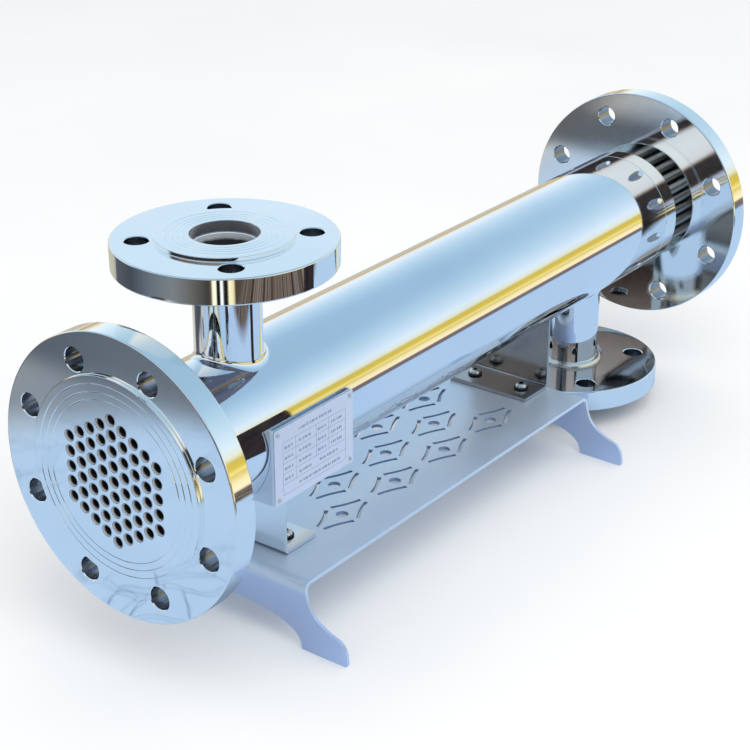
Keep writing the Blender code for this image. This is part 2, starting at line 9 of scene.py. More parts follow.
import bmesh
import bpy
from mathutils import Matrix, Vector


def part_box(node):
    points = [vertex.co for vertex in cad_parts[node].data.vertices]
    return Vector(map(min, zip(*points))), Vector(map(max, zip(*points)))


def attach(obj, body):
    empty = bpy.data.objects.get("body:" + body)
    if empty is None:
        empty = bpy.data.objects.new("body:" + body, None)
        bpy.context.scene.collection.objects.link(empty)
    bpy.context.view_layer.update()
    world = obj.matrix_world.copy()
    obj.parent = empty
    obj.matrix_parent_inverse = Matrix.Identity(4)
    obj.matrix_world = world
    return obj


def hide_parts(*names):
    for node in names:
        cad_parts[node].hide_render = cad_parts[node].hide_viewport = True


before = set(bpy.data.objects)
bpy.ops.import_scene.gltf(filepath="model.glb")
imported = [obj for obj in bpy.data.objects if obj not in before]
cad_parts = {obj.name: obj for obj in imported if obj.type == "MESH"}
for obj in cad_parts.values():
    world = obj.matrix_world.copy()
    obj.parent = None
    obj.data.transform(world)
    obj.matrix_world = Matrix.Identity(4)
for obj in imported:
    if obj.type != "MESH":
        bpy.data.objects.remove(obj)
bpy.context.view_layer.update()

# Camera: it looks from the near end, along the shell and down on it.
VIEW_AZIMUTH = -53.1
VIEW_ELEVATION = 24.8
VIEW_DISTANCE = 1.362
VIEW_AIM = (-0.1705, -0.0745, 0.193)
VIEW_LENS = 87.6
SENSOR_WIDTH = 36.0

# Outer tube sheets.
RAISED_FACE = 0.003
SHEET_FACE_RADIUS = 0.079
SHEET_BOLT_CIRCLE = 0.180
SHEET_BOLTS = 8
SHEET_GROOVES = (0.0615, 0.067, 0.073)
BOLT_HOLE_RADIUS = 0.009
HOLE_CHAMFER = 0.0006
RIM_ROUND = 0.0012
FACE_ROUND = 0.0005
GROOVE_WIDTH = 0.0009
GROOVE_DEPTH = 0.00035

# Tube bundle: triangular pitch, a hexagon of five rings.
TUBE_PITCH = 0.012
TUBE_RINGS = 4
TUBE_WALL = 0.0007
TUBE_FIT = 0.00003

# Shell and branches.
SHELL_WALL = 0.002
SEAM_ROUND = 0.0004
BRANCH_WALL = 0.0012
BRANCH_RADIUS = 0.0255
BRANCH_FLANGE_THICKNESS = 0.020
BRANCH_FACE_RADIUS = 0.051
BRANCH_BOLT_CIRCLE = 0.125
BRANCH_BOLTS = 4
BRANCH_GROOVES = (0.0305, 0.0345, 0.0385, 0.0435)
SHELL_FILLET = 0.005
WELD_BEAD = 0.0042
FOOT_SINK = 0.00008
BEAD_LEAD = 0.0004
BEAD_MARGIN = 0.0002
SHELL_RING_REACH = 1.6

# Baffles and tie rods.
BAFFLE_WINDOW = 0.033
TIE_ROD_RADIUS = 0.0025
TIE_ROD_OFFSET = 0.0505

# Sheet metal.
SHEET_METAL = 0.003
EDGE_ROUND = 0.0004
BENCH_BEND = 0.008
BENCH_HALF_WIDTH = 0.0785
FOOT_INNER = 0.075
ARCH_HEIGHT = 0.025
ARCH_POWER = 2.5
FOOT_CORNER = 0.0022
FOOT_SHOULDER = (0.111, 0.0195)
FLANK_HANDLES = ((0.0795, 0.0315), (0.0915, 0.0255))
TOE_HANDLES = ((0.116, 0.0165), (0.118, 0.011))
SADDLE_BEND = 0.005
SCREW_HOLE_RADIUS = 0.0034

# Pattern punched in the bench top.
UNITS_CENTRE_X = -0.056
UNIT_SPACING = 0.0705
UNIT_ROW_OFFSET = 0.0355
SLIT_START = (0.003, 0.014)
SLIT_END = (0.0275, 0.003)
SLIT_BOW = 0.0012
SLIT_WIDTH = 0.003
SLIT_FLARE = 1.5
UNIT_HOLE_RADIUS = 0.005

# Fasteners.
SOCKET_RADIUS = 0.0024
SOCKET_DEPTH = 0.0019
THREAD_RADIUS = 0.003
THREAD_PITCH = 0.001
THREAD_DEPTH = 0.00018
THREAD_TAPER = 0.0006
HEAD_TOP_RADIUS = 0.0029
HEAD_LIP = 0.0002
HEAD_CLEARANCE = 0.0001
NUT_FLAT = 0.87
NUT_DROP = 0.09

# Nameplate.
PLATE_CORNER = 0.0015
PLATE_ROUND = 0.0002
CARRIER_WALL = 0.0015
CARRIER_BEND = 0.003
RIVET_HOLE_RADIUS = 0.0011
RIVET_HOLE_REACH = 0.006
RIVET_SHANK = 0.001
PRINT_HEIGHT = 0.00006
PRINT_LINE = 0.00028
PRINT_SHARES = (0.8, 0.45, 0.7, 0.3, 0.6)
TABLE_ROWS = (0.10, 0.24, 0.38, 0.52, 0.66, 0.80)
TABLE_SIDES = (0.10, 0.90)
TABLE_DIVIDERS = ((0.26, 1), (0.52, 2), (0.68, 2))
TABLE_ENTRIES = (
    ((1, 2, 3, 4), ((0.12, 0.23), (0.30, 0.47))),
    ((2, 3, 4), ((0.54, 0.65), (0.71, 0.86))),
    ((1,), ((0.56, 0.80),)),
    ((0,), ((0.30, 0.84),)),
)
TABLE_TITLE = (0.30, 0.72, 0.86)
CELL_LIFT = 0.045
DASH_PITCH = 0.024
DASH_HEIGHT = 0.034

# Facet counts and arc steps.
WIDE_ROUND = 256
PIPE_ROUND = 128
HOLE_ROUND = 48
TUBE_ROUND = 28
ARC_STEPS = 5
FILLET_STEPS = 16
ARCH_STEPS = 40
ON_AXIS = 1e-7
SMOOTH_ANGLE = math.radians(32)
EDGE_ANGLE = math.radians(40)

ALONG_X = (0.0, math.pi / 2, 0.0)
AGAINST_X = (0.0, -math.pi / 2, 0.0)
AGAINST_Y = (math.pi / 2, 0.0, 0.0)
UPSIDE_DOWN = (math.pi, 0.0, 0.0)
UPRIGHT = (0.0, 0.0, 0.0)

# Looks of polished metal.
STEEL_REFLECTANCE = 0.87
DRIFT_SCALE = 9.0
RELIEF_SCALE = 900.0


# ---------------------------------------------------------------- shader nodes

def reflected(red, green, blue):
    """The surroundings' linear colour that polished steel shows as this display colour."""
    channels = [value / 255 for value in (red, green, blue)]
    curve = [c / 12.92 if c <= 0.04045 else ((c + 0.055) / 1.055) ** 2.4 for c in channels]
    return tuple(value * (1 / STEEL_REFLECTANCE) for value in curve)


def set_inputs(tree, node, inputs):
    """Gives a node's sockets constants or links. A constant colour is three numbers."""
    for key, value in inputs.items():
        socket = node.inputs[key]
        if isinstance(value, bpy.types.NodeSocket):
            tree.links.new(value, socket)
        elif socket.type == "RGBA":
            socket.default_value = (*value, 1.0)
        else:
            socket.default_value = value


def add_node(tree, kind, inputs=None, **settings):
    node = tree.nodes.new(kind)
    for name, value in settings.items():
        setattr(node, name, value)
    set_inputs(tree, node, inputs or {})
    return node


def noise(tree, vector, scale, detail=4.0, roughness=0.55):
    inputs = {"Vector": vector, "Scale": scale, "Detail": detail, "Roughness": roughness}
    return add_node(tree, "ShaderNodeTexNoise", inputs).outputs["Fac"]


def stretched(tree, scale=(1, 1, 1)):
    """Object coordinates, scaled differently along each axis."""
    place = add_node(tree, "ShaderNodeTexCoord").outputs["Object"]
    return add_node(tree, "ShaderNodeMapping", {"Vector": place, "Scale": scale}).outputs["Vector"]


def separated(tree, vector):
    """A vector's X, Y and Z."""
    return add_node(tree, "ShaderNodeSeparateXYZ", {"Vector": vector}).outputs


def ranged(tree, value, low, high, to_low=0.0, to_high=1.0, smooth=False):
    """The value moved from one range to another and held inside it."""
    inputs = {"Value": value, "From Min": low, "From Max": high, "To Min": to_low, "To Max": to_high}
    shape = "SMOOTHSTEP" if smooth else "LINEAR"
    node = add_node(tree, "ShaderNodeMapRange", inputs, clamp=True, interpolation_type=shape)
    return node.outputs["Result"]


def maths(tree, operation, first, second=0.0):
    node = add_node(tree, "ShaderNodeMath", {0: first, 1: second}, operation=operation)
    return node.outputs["Value"]


def product(tree, first, *others):
    for factor in others:
        first = maths(tree, "MULTIPLY", first, factor)
    return first


def patch(tree, *edges, smooth=True):
    """Product of steps, each (value, low, high) from 0 to 1 or between two more numbers."""
    return product(tree, *(ranged(tree, *edge, smooth=smooth) for edge in edges))


def ramp(tree, value, stops):
    node = add_node(tree, "ShaderNodeValToRGB", {"Fac": value})
    elements = node.color_ramp.elements
    while len(elements) < len(stops):
        elements.new(0.5)
    for element, (position, colour) in zip(elements, stops):
        element.position = position
        element.color = (*colour, 1.0)
    return node.outputs["Color"]


def blend_colours(tree, factor, first, second):
    node = add_node(tree, "ShaderNodeMix", {0: factor, 6: first, 7: second}, data_type="RGBA")
    return node.outputs[2]


def relief(tree, height, strength, depth):
    inputs = {"Height": height, "Strength": strength, "Distance": depth}
    return add_node(tree, "ShaderNodeBump", inputs).outputs["Normal"]


# ---------------------------------------------------------------- materials

def new_material(name):
    material = bpy.data.materials.new(name)
    material.use_nodes = True
    return material, material.node_tree, material.node_tree.nodes["Principled BSDF"]


def steel(name, tones, roughness, grain, grain_scale, bump, metallic=1.0):
    """Steel whose colour and roughness drift, with a fine grain drawn out along one axis."""
    material, tree, shader = new_material(name)
    drawn = stretched(tree, grain)
    drift = noise(tree, stretched(tree), DRIFT_SCALE, detail=3.0)
    worn = product(tree, noise(tree, drawn, grain_scale, detail=5.0), drift)
    set_inputs(tree, shader, {
        "Metallic": metallic,
        "Base Color": ramp(tree, drift, [(0.3, tones[0]), (0.7, tones[1])]),
        "Roughness": ranged(tree, worn, 0.12, 0.42, *roughness),
        "Normal": relief(tree, noise(tree, drawn, RELIEF_SCALE, detail=2.0), bump, 0.0002),
    })
    return material


def turned_steel(name, tones, roughness, bump, rings):
    """Steel faced on a lathe and polished: faint rings round the piece's own Z axis."""
    material = steel(name, tones, roughness, (1, 1, 1), 160.0, bump)
    tree = material.node_tree
    place = stretched(tree, (1, 1, 0))
    length = add_node(tree, "ShaderNodeVectorMath", {0: place}, operation="LENGTH").outputs["Value"]
    wobble = product(tree, noise(tree, place, 7.0), 0.002)
    wave = maths(tree, "SINE", product(tree, maths(tree, "ADD", length, wobble), rings))
    grain_relief = next(node for node in tree.nodes if node.type == "BUMP")
    set_inputs(tree, grain_relief, {"Height": wave})
    return material


def folded(material, bend, below):
    """Paints a reflection on a sheet: turns its steel to another tone below its bend, over these two
    heights.
    """
    tree = material.node_tree
    shader = tree.nodes["Principled BSDF"]
    turned_down = ranged(tree, separated(tree, stretched(tree))["Z"], *bend, 1.0, 0.0, smooth=True)
    flat = shader.inputs["Base Color"].links[0].from_socket
    set_inputs(tree, shader, {"Base Color": blend_colours(tree, turned_down, flat, below)})
    return material


def depth_shaded(name, metallic, depth_of, shade_depth, tones, matt_depth, roughness):
    """Steel inside a tube along local Z, whose tone and roughness follow the depth inside: painted
    light near the mouth, painted shade deeper in.
    """
    material, tree, shader = new_material(name)
    depth = depth_of(tree, separated(tree, stretched(tree))["Z"])
    set_inputs(tree, shader, {
        "Metallic": metallic,
        "Base Color": ramp(tree, ranged(tree, depth, 0.0, shade_depth), tones),
        "Roughness": ranged(tree, depth, 0.0, matt_depth, *roughness),
    })
    return material


def from_both_ends(tree, height):
    """Depth inside a heat-exchanger tube, from the nearer of its two mouths."""
    half = (tube_high.x - tube_low.x) / 2
    from_middle = maths(tree, "ABSOLUTE", maths(tree, "SUBTRACT", height, half))
    ragged = product(tree, noise(tree, stretched(tree, (1, 1, 0.3)), 500.0), 0.0012)
    return maths(tree, "ADD", maths(tree, "SUBTRACT", half, from_middle), ragged)


def from_mouth(tree, height):
    """Depth inside a branch pipe, from its mouth."""
    ragged = product(tree, noise(tree, stretched(tree), 60.0), 0.005)
    return maths(tree, "SUBTRACT", ragged, maths(tree, "SUBTRACT", height, pipe_mouth))


def speckled(name, scale, stops, roughness, bump=0.0):
    """A dull material whose colour and roughness follow one fine noise."""
    material, tree, shader = new_material(name)
    speckle = noise(tree, stretched(tree), scale)
    set_inputs(tree, shader, {"Base Color": ramp(tree, speckle, stops),
                              "Roughness": ranged(tree, speckle, 0.3, 0.7, *roughness)})
    if bump:
        set_inputs(tree, shader, {"Normal": relief(tree, speckle, bump, 0.0001)})
    return material


near_low, near_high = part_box("near_outer_tube_sheet")
axis_height = (near_low.z + near_high.z) / 2
tube_low, tube_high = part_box("tube_01")
pipe_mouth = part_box("top_branch_pipe")[1].z - axis_height
bench_low, bench_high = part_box("bench")

polished = steel("polished_steel", ((0.84, 0.87, 0.90), (0.90, 0.92, 0.94)),
                 (0.02, 0.075), (0.06, 1, 1), 40.0, 0.015)
pipe_polish = steel("pipe_polish", ((0.84, 0.87, 0.90), (0.90, 0.92, 0.94)),
                    (0.02, 0.07), (1, 1, 0.08), 60.0, 0.012)
flange_polish = turned_steel("flange_polish", ((0.88, 0.91, 0.91), (0.95, 0.97, 0.95)),
                             (0.025, 0.085), 0.012, 9000.0)
# Tubes: their dark tone is painted shade, for the gap between the tube sheets where they show.
tube_shade_metal = steel("tube_shade_metal", ((0.30, 0.30, 0.30), (0.46, 0.46, 0.46)),
                   (0.25, 0.45), (1, 1, 0.05), 220.0, 0.1)
# Branch flange bores: their darker tone is painted shade inside the bore.
bore_shade_metal = steel("bore_shade_metal", ((0.50, 0.51, 0.54), (0.66, 0.67, 0.70)),
                   (0.26, 0.4), (1, 1, 0.05), 260.0, 0.08, metallic=0.92)
# Inside the tubes: painted light at each mouth, painted shade going to near black deeper in.
tube_bore_lit_and_shaded = depth_shaded("tube_bore_lit_and_shaded", 0.3, from_both_ends, 0.01, [
    (0.0, (0.86, 0.88, 0.92)), (0.16, (0.66, 0.68, 0.72)),
    (0.30, (0.02, 0.02, 0.022)), (1.0, (0.006, 0.006, 0.007))], 0.004, (0.4, 0.6))
# Inside the branch pipes: a painted highlight band just below the mouth, then painted shade deeper
# in.
pipe_bore_lit_and_shaded = depth_shaded("pipe_bore_lit_and_shaded", 0.4, from_mouth, 0.03, [
    (0.0, (0.78, 0.84, 0.92)), (0.10, (0.93, 0.96, 1.0)), (0.20, (0.80, 0.87, 0.96)),
    (0.28, (0.05, 0.055, 0.06)), (1.0, (0.02, 0.02, 0.022))], 0.01, (0.3, 0.5))
# Back of the top branch flange, facing down: its dark tone is painted shade and painted dark
# reflection.
underside_shade_metal = steel("underside_shade_metal", ((0.20, 0.17, 0.19), (0.30, 0.26, 0.28)),
                        (0.05, 0.12), (1, 1, 1), 200.0, 0.02)
# Hex sockets: their near black tone is painted shade in the recess.
socket_shade_metal = steel("socket_shade_metal", ((0.03, 0.03, 0.035), (0.07, 0.07, 0.08)),
                     (0.35, 0.5), (1, 1, 1), 300.0, 0.05)
# Walls of the punched slits and holes: their darker blue tone is painted shade, with painted blue
# sky light.
slit_shade_metal = steel("slit_shade_metal", ((0.20, 0.29, 0.44), (0.30, 0.39, 0.55)),
                   (0.30, 0.42), (1, 1, 1), 500.0, 0.03, metallic=0.6)
weld_metal = steel("weld_metal", ((0.84, 0.82, 0.76), (0.93, 0.91, 0.86)),
                   (0.20, 0.32), (1, 1, 1), 400.0, 0.12)
# Bolt-hole walls: their dark tone is painted shade inside the holes.
hole_shade_metal = steel("hole_shade_metal", ((0.26, 0.27, 0.30), (0.38, 0.39, 0.42)),
                      (0.16, 0.30), (1, 1, 0.2), 700.0, 0.1)
inner_metal = steel("inner_metal", ((0.45, 0.45, 0.46), (0.58, 0.58, 0.60)),
                    (0.25, 0.45), (1, 1, 1), 90.0, 0.1)
# Bench sheet: satin steel; its blue tint, and the bluer tone of the end plates below the bends, are
# painted reflection of the sky and ground.
bench_satin = folded(steel("bench_satin", ((0.64, 0.74, 0.86), (0.72, 0.82, 0.94)),
                           (0.34, 0.44), (0.02, 1, 1), 900.0, 0.02, metallic=0.7),
                     (bench_high.z - 0.014, bench_high.z - 0.003), (0.61, 0.71, 0.94))
saddle_polish = steel("saddle_polish", ((0.74, 0.75, 0.76), (0.84, 0.85, 0.86)),
                      (0.12, 0.20), (1, 0.03, 1), 700.0, 0.03)
# Rear saddle: the same steel as the front one; its darker tone is a painted dark reflection.
rear_saddle_dark_reflection = steel("rear_saddle_dark_reflection", ((0.36, 0.35, 0.34), (0.48, 0.47, 0.46)),
                    (0.14, 0.22), (1, 0.03, 1), 700.0, 0.03)
# Back of the bottom branch flange, facing the shell: its dark tone is painted dark reflection.
flange_back_dark_reflection = steel("flange_back_dark_reflection", ((0.36, 0.34, 0.34), (0.46, 0.44, 0.44)),
                    (0.04, 0.10), (1, 1, 1), 200.0, 0.02)
fastener_metal = steel("fastener_metal", ((0.66, 0.66, 0.65), (0.80, 0.80, 0.80)),
                       (0.14, 0.28), (1, 1, 1), 300.0, 0.08)
washer_rubber = speckled("washer_rubber", 700.0, [
    (0.3, (0.006, 0.006, 0.007)), (0.7, (0.02, 0.02, 0.022))], (0.5, 0.75), bump=0.3)
plate_metal = steel("plate_metal", ((0.66, 0.70, 0.84), (0.74, 0.78, 0.90)),
                    (0.30, 0.42), (0.03, 1, 1), 1200.0, 0.02, metallic=0.6)
plate_ink = speckled("plate_ink", 1800.0, [
    (0.35, (0.14, 0.18, 0.30)), (0.7, (0.30, 0.36, 0.52))], (0.4, 0.6))


# ---------------------------------------------------------------- mesh tools

def link(name, mesh, location=(0, 0, 0), rotation=UPRIGHT):
    obj = bpy.data.objects.new(name, mesh)
    obj.location = location
    obj.rotation_euler = rotation
    bpy.context.scene.collection.objects.link(obj)
    return obj


def to_object(name, builder, location=(0, 0, 0), rotation=UPRIGHT):
    bmesh.ops.recalc_face_normals(builder, faces=builder.faces)
    mesh = bpy.data.meshes.new(name)
    builder.to_mesh(mesh)
    builder.free()
    return link(name, mesh, location, rotation)


def applied(obj):
    """Bakes the object's modifiers into its mesh."""
    graph = bpy.context.evaluated_depsgraph_get()
    mesh = bpy.data.meshes.new_from_object(obj.evaluated_get(graph))
    obj.modifiers.clear()
    obj.data = mesh


def carve(obj, cutter, operation="DIFFERENCE"):
    """Applies a cutter to the object, then deletes the cutter."""
    modifier = obj.modifiers.new("carve", "BOOLEAN")
    modifier.operation = operation
    modifier.solver = "EXACT"
    modifier.object = cutter
    applied(obj)
    bpy.data.objects.remove(cutter, do_unlink=True)


def rounded_edges(obj, width):
    modifier = obj.modifiers.new("round", "BEVEL")
    modifier.width = width
    modifier.segments = 2
    modifier.limit_method = "ANGLE"
    modifier.angle_limit = EDGE_ANGLE
    modifier.use_clamp_overlap = True
    applied(obj)


def hand_over(obj, slot, *nodes):
    """Puts a piece on the one body, in place of its CAD nodes."""
    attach(obj, "root")
    if nodes:
        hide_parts(*nodes)


def finished(obj, material, slot, *nodes, looks=()):
    """Smooths, paints and hands over a piece; each (look, test) repaints the faces it picks."""
    obj.data.materials.clear()
    obj.data.materials.append(material)
    for look, _ in looks:
        obj.data.materials.append(look)
    for polygon in obj.data.polygons:
        picked = [index for index, (_, test) in enumerate(looks, start=1) if test(polygon)]
        polygon.material_index = picked[0] if picked else 0
    obj.data.shade_smooth()
    obj.data.set_sharp_from_angle(angle=SMOOTH_ANGLE)
    modifier = obj.modifiers.new("normals", "WEIGHTED_NORMAL")
    modifier.keep_sharp = True
    modifier.weight = 80
    applied(obj)
    hand_over(obj, slot, *nodes)


def arc(centre, radius, start, end, steps):
    """Points on an arc, with its angles in degrees."""
    points = []
    for step in range(steps + 1):
        angle = math.radians(start + (end - start) * step / steps)
        points.append((centre[0] + radius * math.cos(angle), centre[1] + radius * math.sin(angle)))
    return points


def quarter_turn(steps):
    """Angles from zero to a right angle."""
    return [math.pi / 2 * step / steps for step in range(steps + 1)]


def hexagon(radius, z):
    turn = [math.pi / 3 * corner for corner in range(6)]
    return [(radius * math.cos(angle), radius * math.sin(angle), z) for angle in turn]


def bezier(p0, p1, p2, p3, steps):
    """Points on a cubic curve, both ends included."""
    points = []
    for step in range(steps + 1):
        t = step / steps
        weights = ((1 - t) ** 3, 3 * t * (1 - t) ** 2, 3 * t * t * (1 - t), t**3)
        points.append(
            tuple(sum(w * p[i] for w, p in zip(weights, (p0, p1, p2, p3))) for i in (0, 1))
        )
    return points


def rounded_profile(corners):
    """A profile of (radius, height, rounding) corners as points, with arcs at the corners."""
    points = []
    for index, (r, z, rounding) in enumerate(corners):
        here = Vector((r, z))
        if rounding == 0:
            points.append(here)
            continue
        before = (Vector(corners[index - 1][:2]) - here).normalized()
        after = (Vector(corners[(index + 1) % len(corners)][:2]) - here).normalized()
        half = before.angle(after) / 2
        reach = rounding / math.tan(half)
        centre = here + (before + after).normalized() * rounding / math.sin(half)
        start, end = here + before * reach - centre, here + after * reach - centre
        for step in range(ARC_STEPS + 1):
            points.append(centre + start.slerp(end, step / ARC_STEPS) * rounding)
    return points


def lathe(profile, segments, builder=None, offset=(0.0, 0.0)):
    """Turns (radius, height) points about local Z, to a solid if they start on it, else a ring."""
    builder = builder or bmesh.new()
    turn = [2 * math.pi * step / segments for step in range(segments)]
    rings = []
    for r, z in profile:
        rings.append([
            builder.verts.new((offset[0] + r * math.cos(a), offset[1] + r * math.sin(a), z))
            for a in (turn if r > ON_AXIS else [0.0])
        ])
    pairs = list(zip(rings, rings[1:]))
    if profile[0][0] > ON_AXIS:
        pairs.append((rings[-1], rings[0]))
    for lower, upper in pairs:
        for step in range(segments):
            after = (step + 1) % segments
            quad = (lower[step % len(lower)], lower[after % len(lower)],
                    upper[after % len(upper)], upper[step % len(upper)])
            corners = list(dict.fromkeys(quad))
            if len(corners) > 2:
                builder.faces.new(corners)
    return builder


def turned(name, corners, segments, location=(0, 0, 0), rotation=UPRIGHT):
    """A turned piece from its (radius, height, rounding) corners."""
    return to_object(name, lathe(rounded_profile(corners), segments), location, rotation)


def ring(inner, outer, start, end, edge):
    """Corners of a ring between two heights."""
    return [(inner, start, edge), (outer, start, edge), (outer, end, edge), (inner, end, edge)]


def bar_along_x(name, low, high, radius, edge, segments, y=0.0):
    """A round plate or rod between the two ends of a CAD node's box."""
    length = high.x - low.x
    corners = [(0, 0, 0), (radius, 0, edge), (radius, length, edge), (0, length, 0)]
    return turned(name, corners, segments, (low.x, y, axis_height), ALONG_X)


def add_prism(builder, outline, vector):
    face = builder.faces.new([builder.verts.new(point) for point in outline])
    grown = bmesh.ops.extrude_face_region(builder, geom=[face])
    moved = [item for item in grown["geom"] if isinstance(item, bmesh.types.BMVert)]
    bmesh.ops.translate(builder, verts=moved, vec=vector)


def prism(name, outline, vector, location=(0, 0, 0), rotation=UPRIGHT):
    builder = bmesh.new()
    add_prism(builder, outline, vector)
    return to_object(name, builder, location, rotation)


def drill(obj, places, radius, start, end, location=(0, 0, 0), rotation=UPRIGHT,
          segments=TUBE_ROUND, chamfer=0):
    """Cuts holes between two heights, each flared at both faces by the chamfer."""
    spare = 0.002
    wide = radius + chamfer + spare if chamfer else radius
    waist = [(radius, start + chamfer), (radius, end - chamfer)] if chamfer else []
    profile = [(0, start - spare), (wide, start - spare), *waist, (wide, end + spare),
               (0, end + spare)]
    builder = bmesh.new()
    for place in places:
        lathe(profile, segments, builder, place)
    carve(obj, to_object("cutter", builder, location, rotation))


def fit_to_shell(obj, x, start, end):
    """Cuts the shell's round out of a piece that sits on it."""
    drill(obj, [(0, 0)], shell_radius + TUBE_FIT * 5, start, end, (x, 0, axis_height), ALONG_X,
          WIDE_ROUND)


def in_holes(places, radius):
    """Picks the faces whose middles lie inside one of these holes along local Z."""
    def test(polygon):
        middle = polygon.center.xy
        return any((middle - Vector(place)).length < radius for place in places)
    return test


def facing_axis(polygon):
    """Whether a face looks at the local Z axis."""
    return polygon.normal.xy.dot(polygon.center.xy.normalized()) < -0.5


def circle_places(count, radius):
    """Holes spread on a circle, the first half a step round."""
    angles = [2 * math.pi * (index + 0.5) / count for index in range(count)]
    return [(radius * math.cos(angle), radius * math.sin(angle)) for angle in angles]


def tube_places():
    """Tube centres in a hexagon with a corner at the top, inner rings first."""
    places = [(0.0, 0.0)]
    for number in range(1, TUBE_RINGS + 1):
        corners = [
            Vector((math.cos(k * math.pi / 3), math.sin(k * math.pi / 3))) * number * TUBE_PITCH
            for k in range(7)
        ]
        for start, end in zip(corners, corners[1:]):
            places += [tuple(start.lerp(end, step / number)) for step in range(number)]
    return places


def grooved(outer, inner, face, grooves):
    """Corners of a face from its rim inwards, with a shallow round groove at each radius."""
    corners = [(outer, face, FACE_ROUND)]
    half, slope = GROOVE_WIDTH / 2, face - GROOVE_DEPTH * 0.75
    for radius in sorted(grooves, reverse=True):
        corners += [(radius + half, face, 0), (radius + half * 0.6, slope, 0),
                    (radius, face - GROOVE_DEPTH, 0),
                    (radius - half * 0.6, slope, 0), (radius - half, face, 0)]
    corners.append((inner, face, 0 if inner == 0 else FACE_ROUND))
    return corners


def span(node):
    """Middle and size of a CAD node's box."""
    low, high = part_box(node)
    return (low + high) / 2, high - low


# ---------------------------------------------------------------- tube side

sheet_radius = (near_high.z - near_low.z) / 2
sheet_thickness = near_high.x - near_low.x - RAISED_FACE
tube_radius = span("tube_01")[1].y / 2
shell_low, shell_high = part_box("shell")
shell_radius = (shell_high.z - shell_low.z) / 2


def flange(node, bore, radius, back, shoulder, raised, bolts, place, rotation):
    """A plate between two heights with bolt holes and a raised (radius, grooves) face."""
    face_radius, grooves = raised
    corners = [(bore, back, 0), (radius, back, RIM_ROUND), (radius, shoulder, RIM_ROUND),
               (face_radius, shoulder, FACE_ROUND)]
    corners += grooved(face_radius, bore, shoulder + RAISED_FACE, grooves)
    plate = turned(f"{node}_plate", corners, WIDE_ROUND, place, rotation)
    drill(plate, bolts, BOLT_HOLE_RADIUS, back, shoulder, place, rotation, HOLE_ROUND,
          HOLE_CHAMFER)
    return plate


def outer_tube_sheet(name, inner_face_x, rotation):
    """A flange without a bore, drilled for the tubes."""
    place = (inner_face_x, 0, axis_height)
    bolts = circle_places(SHEET_BOLTS, SHEET_BOLT_CIRCLE / 2)
    plate = flange(name, 0, sheet_radius, 0, sheet_thickness, (SHEET_FACE_RADIUS, SHEET_GROOVES),
                   bolts, place, rotation)
    drill(plate, tube_places(), tube_radius + TUBE_FIT, 0, sheet_thickness + RAISED_FACE,
          place, rotation)
    finished(plate, flange_polish, "flange_steel", name,
             looks=[(hole_shade_metal, in_holes(bolts, BOLT_HOLE_RADIUS + TUBE_FIT))])


def inner_tube_sheet(name):
    low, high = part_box(name)
    plate = bar_along_x(f"{name}_plate", low, high, shell_radius, SEAM_ROUND, WIDE_ROUND)
    drill(plate, tube_places(), tube_radius + TUBE_FIT, 0, high.x - low.x,
          (low.x, 0, axis_height), ALONG_X)
    finished(plate, flange_polish, "polished_steel", name)


def tubes():
    """One mesh shared by all the tubes: those of the outer ring replace their CAD nodes."""
    nodes = sorted(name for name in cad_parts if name.startswith("tube_"))
    places = [(span(node)[0].y, span(node)[0].z, (node,)) for node in nodes]
    inner = tube_places()[:-len(nodes)]
    places += [(across, axis_height - down, ()) for down, across in inner]
    corners = ring(tube_radius - TUBE_WALL, tube_radius, 0, tube_high.x - tube_low.x, TUBE_WALL / 3)
    first = turned("tube_run_01", corners, TUBE_ROUND, (tube_low.x, *places[0][:2]), ALONG_X)
    finished(first, tube_shade_metal, "tube_steel", *places[0][2], looks=[(tube_bore_lit_and_shaded, facing_axis)])
    for number, (y, z, replaced) in enumerate(places[1:], start=2):
        tube = link(f"tube_run_{number:02d}", first.data, (tube_low.x, y, z), ALONG_X)
        hand_over(tube, "tube_steel", *replaced)


def baffle(name):
    """Segmental plate with a hole for each tube and tie rod, open on one side."""
    low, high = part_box(name)
    thickness, radius = high.x - low.x, (high.y - low.y) / 2
    place = (low.x, 0, axis_height)
    plate = bar_along_x(f"{name}_plate", low, high, radius, SEAM_ROUND / 2, PIPE_ROUND)
    open_below = low.z > axis_height - radius * 0.9
    side = 1 if open_below else -1
    reach = 2 * radius
    window = [(side * BAFFLE_WINDOW, -reach, -thickness), (side * reach, -reach, -thickness),
              (side * reach, reach, -thickness), (side * BAFFLE_WINDOW, reach, -thickness)]
    carve(plate, prism("cutter", window, (0, 0, 3 * thickness), place, ALONG_X))
    rods = [(0, TIE_ROD_OFFSET), (0, -TIE_ROD_OFFSET)]
    for holes, hole_radius in ((tube_places(), tube_radius), (rods, TIE_ROD_RADIUS)):
        drill(plate, holes, hole_radius + TUBE_FIT * 4, 0, thickness, place, ALONG_X)
    finished(plate, inner_metal, "inner_steel", name)


def tie_rod(name):
    low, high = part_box(name)
    rod = bar_along_x(f"{name}_bar", low, high, TIE_ROD_RADIUS, SEAM_ROUND, TUBE_ROUND,
                      (low.y + high.y) / 2)
    finished(rod, inner_metal, "inner_steel", name)


# ---------------------------------------------------------------- shell side

top_low, top_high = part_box("top_branch_flange")
bottom_low, bottom_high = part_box("bottom_branch_flange")
BRANCHES = (
    ("top", ((top_low + top_high) / 2).x, top_high.z - axis_height, UPRIGHT),
    ("bottom", ((bottom_low + bottom_high) / 2).x, axis_height - bottom_low.z, UPSIDE_DOWN),
)


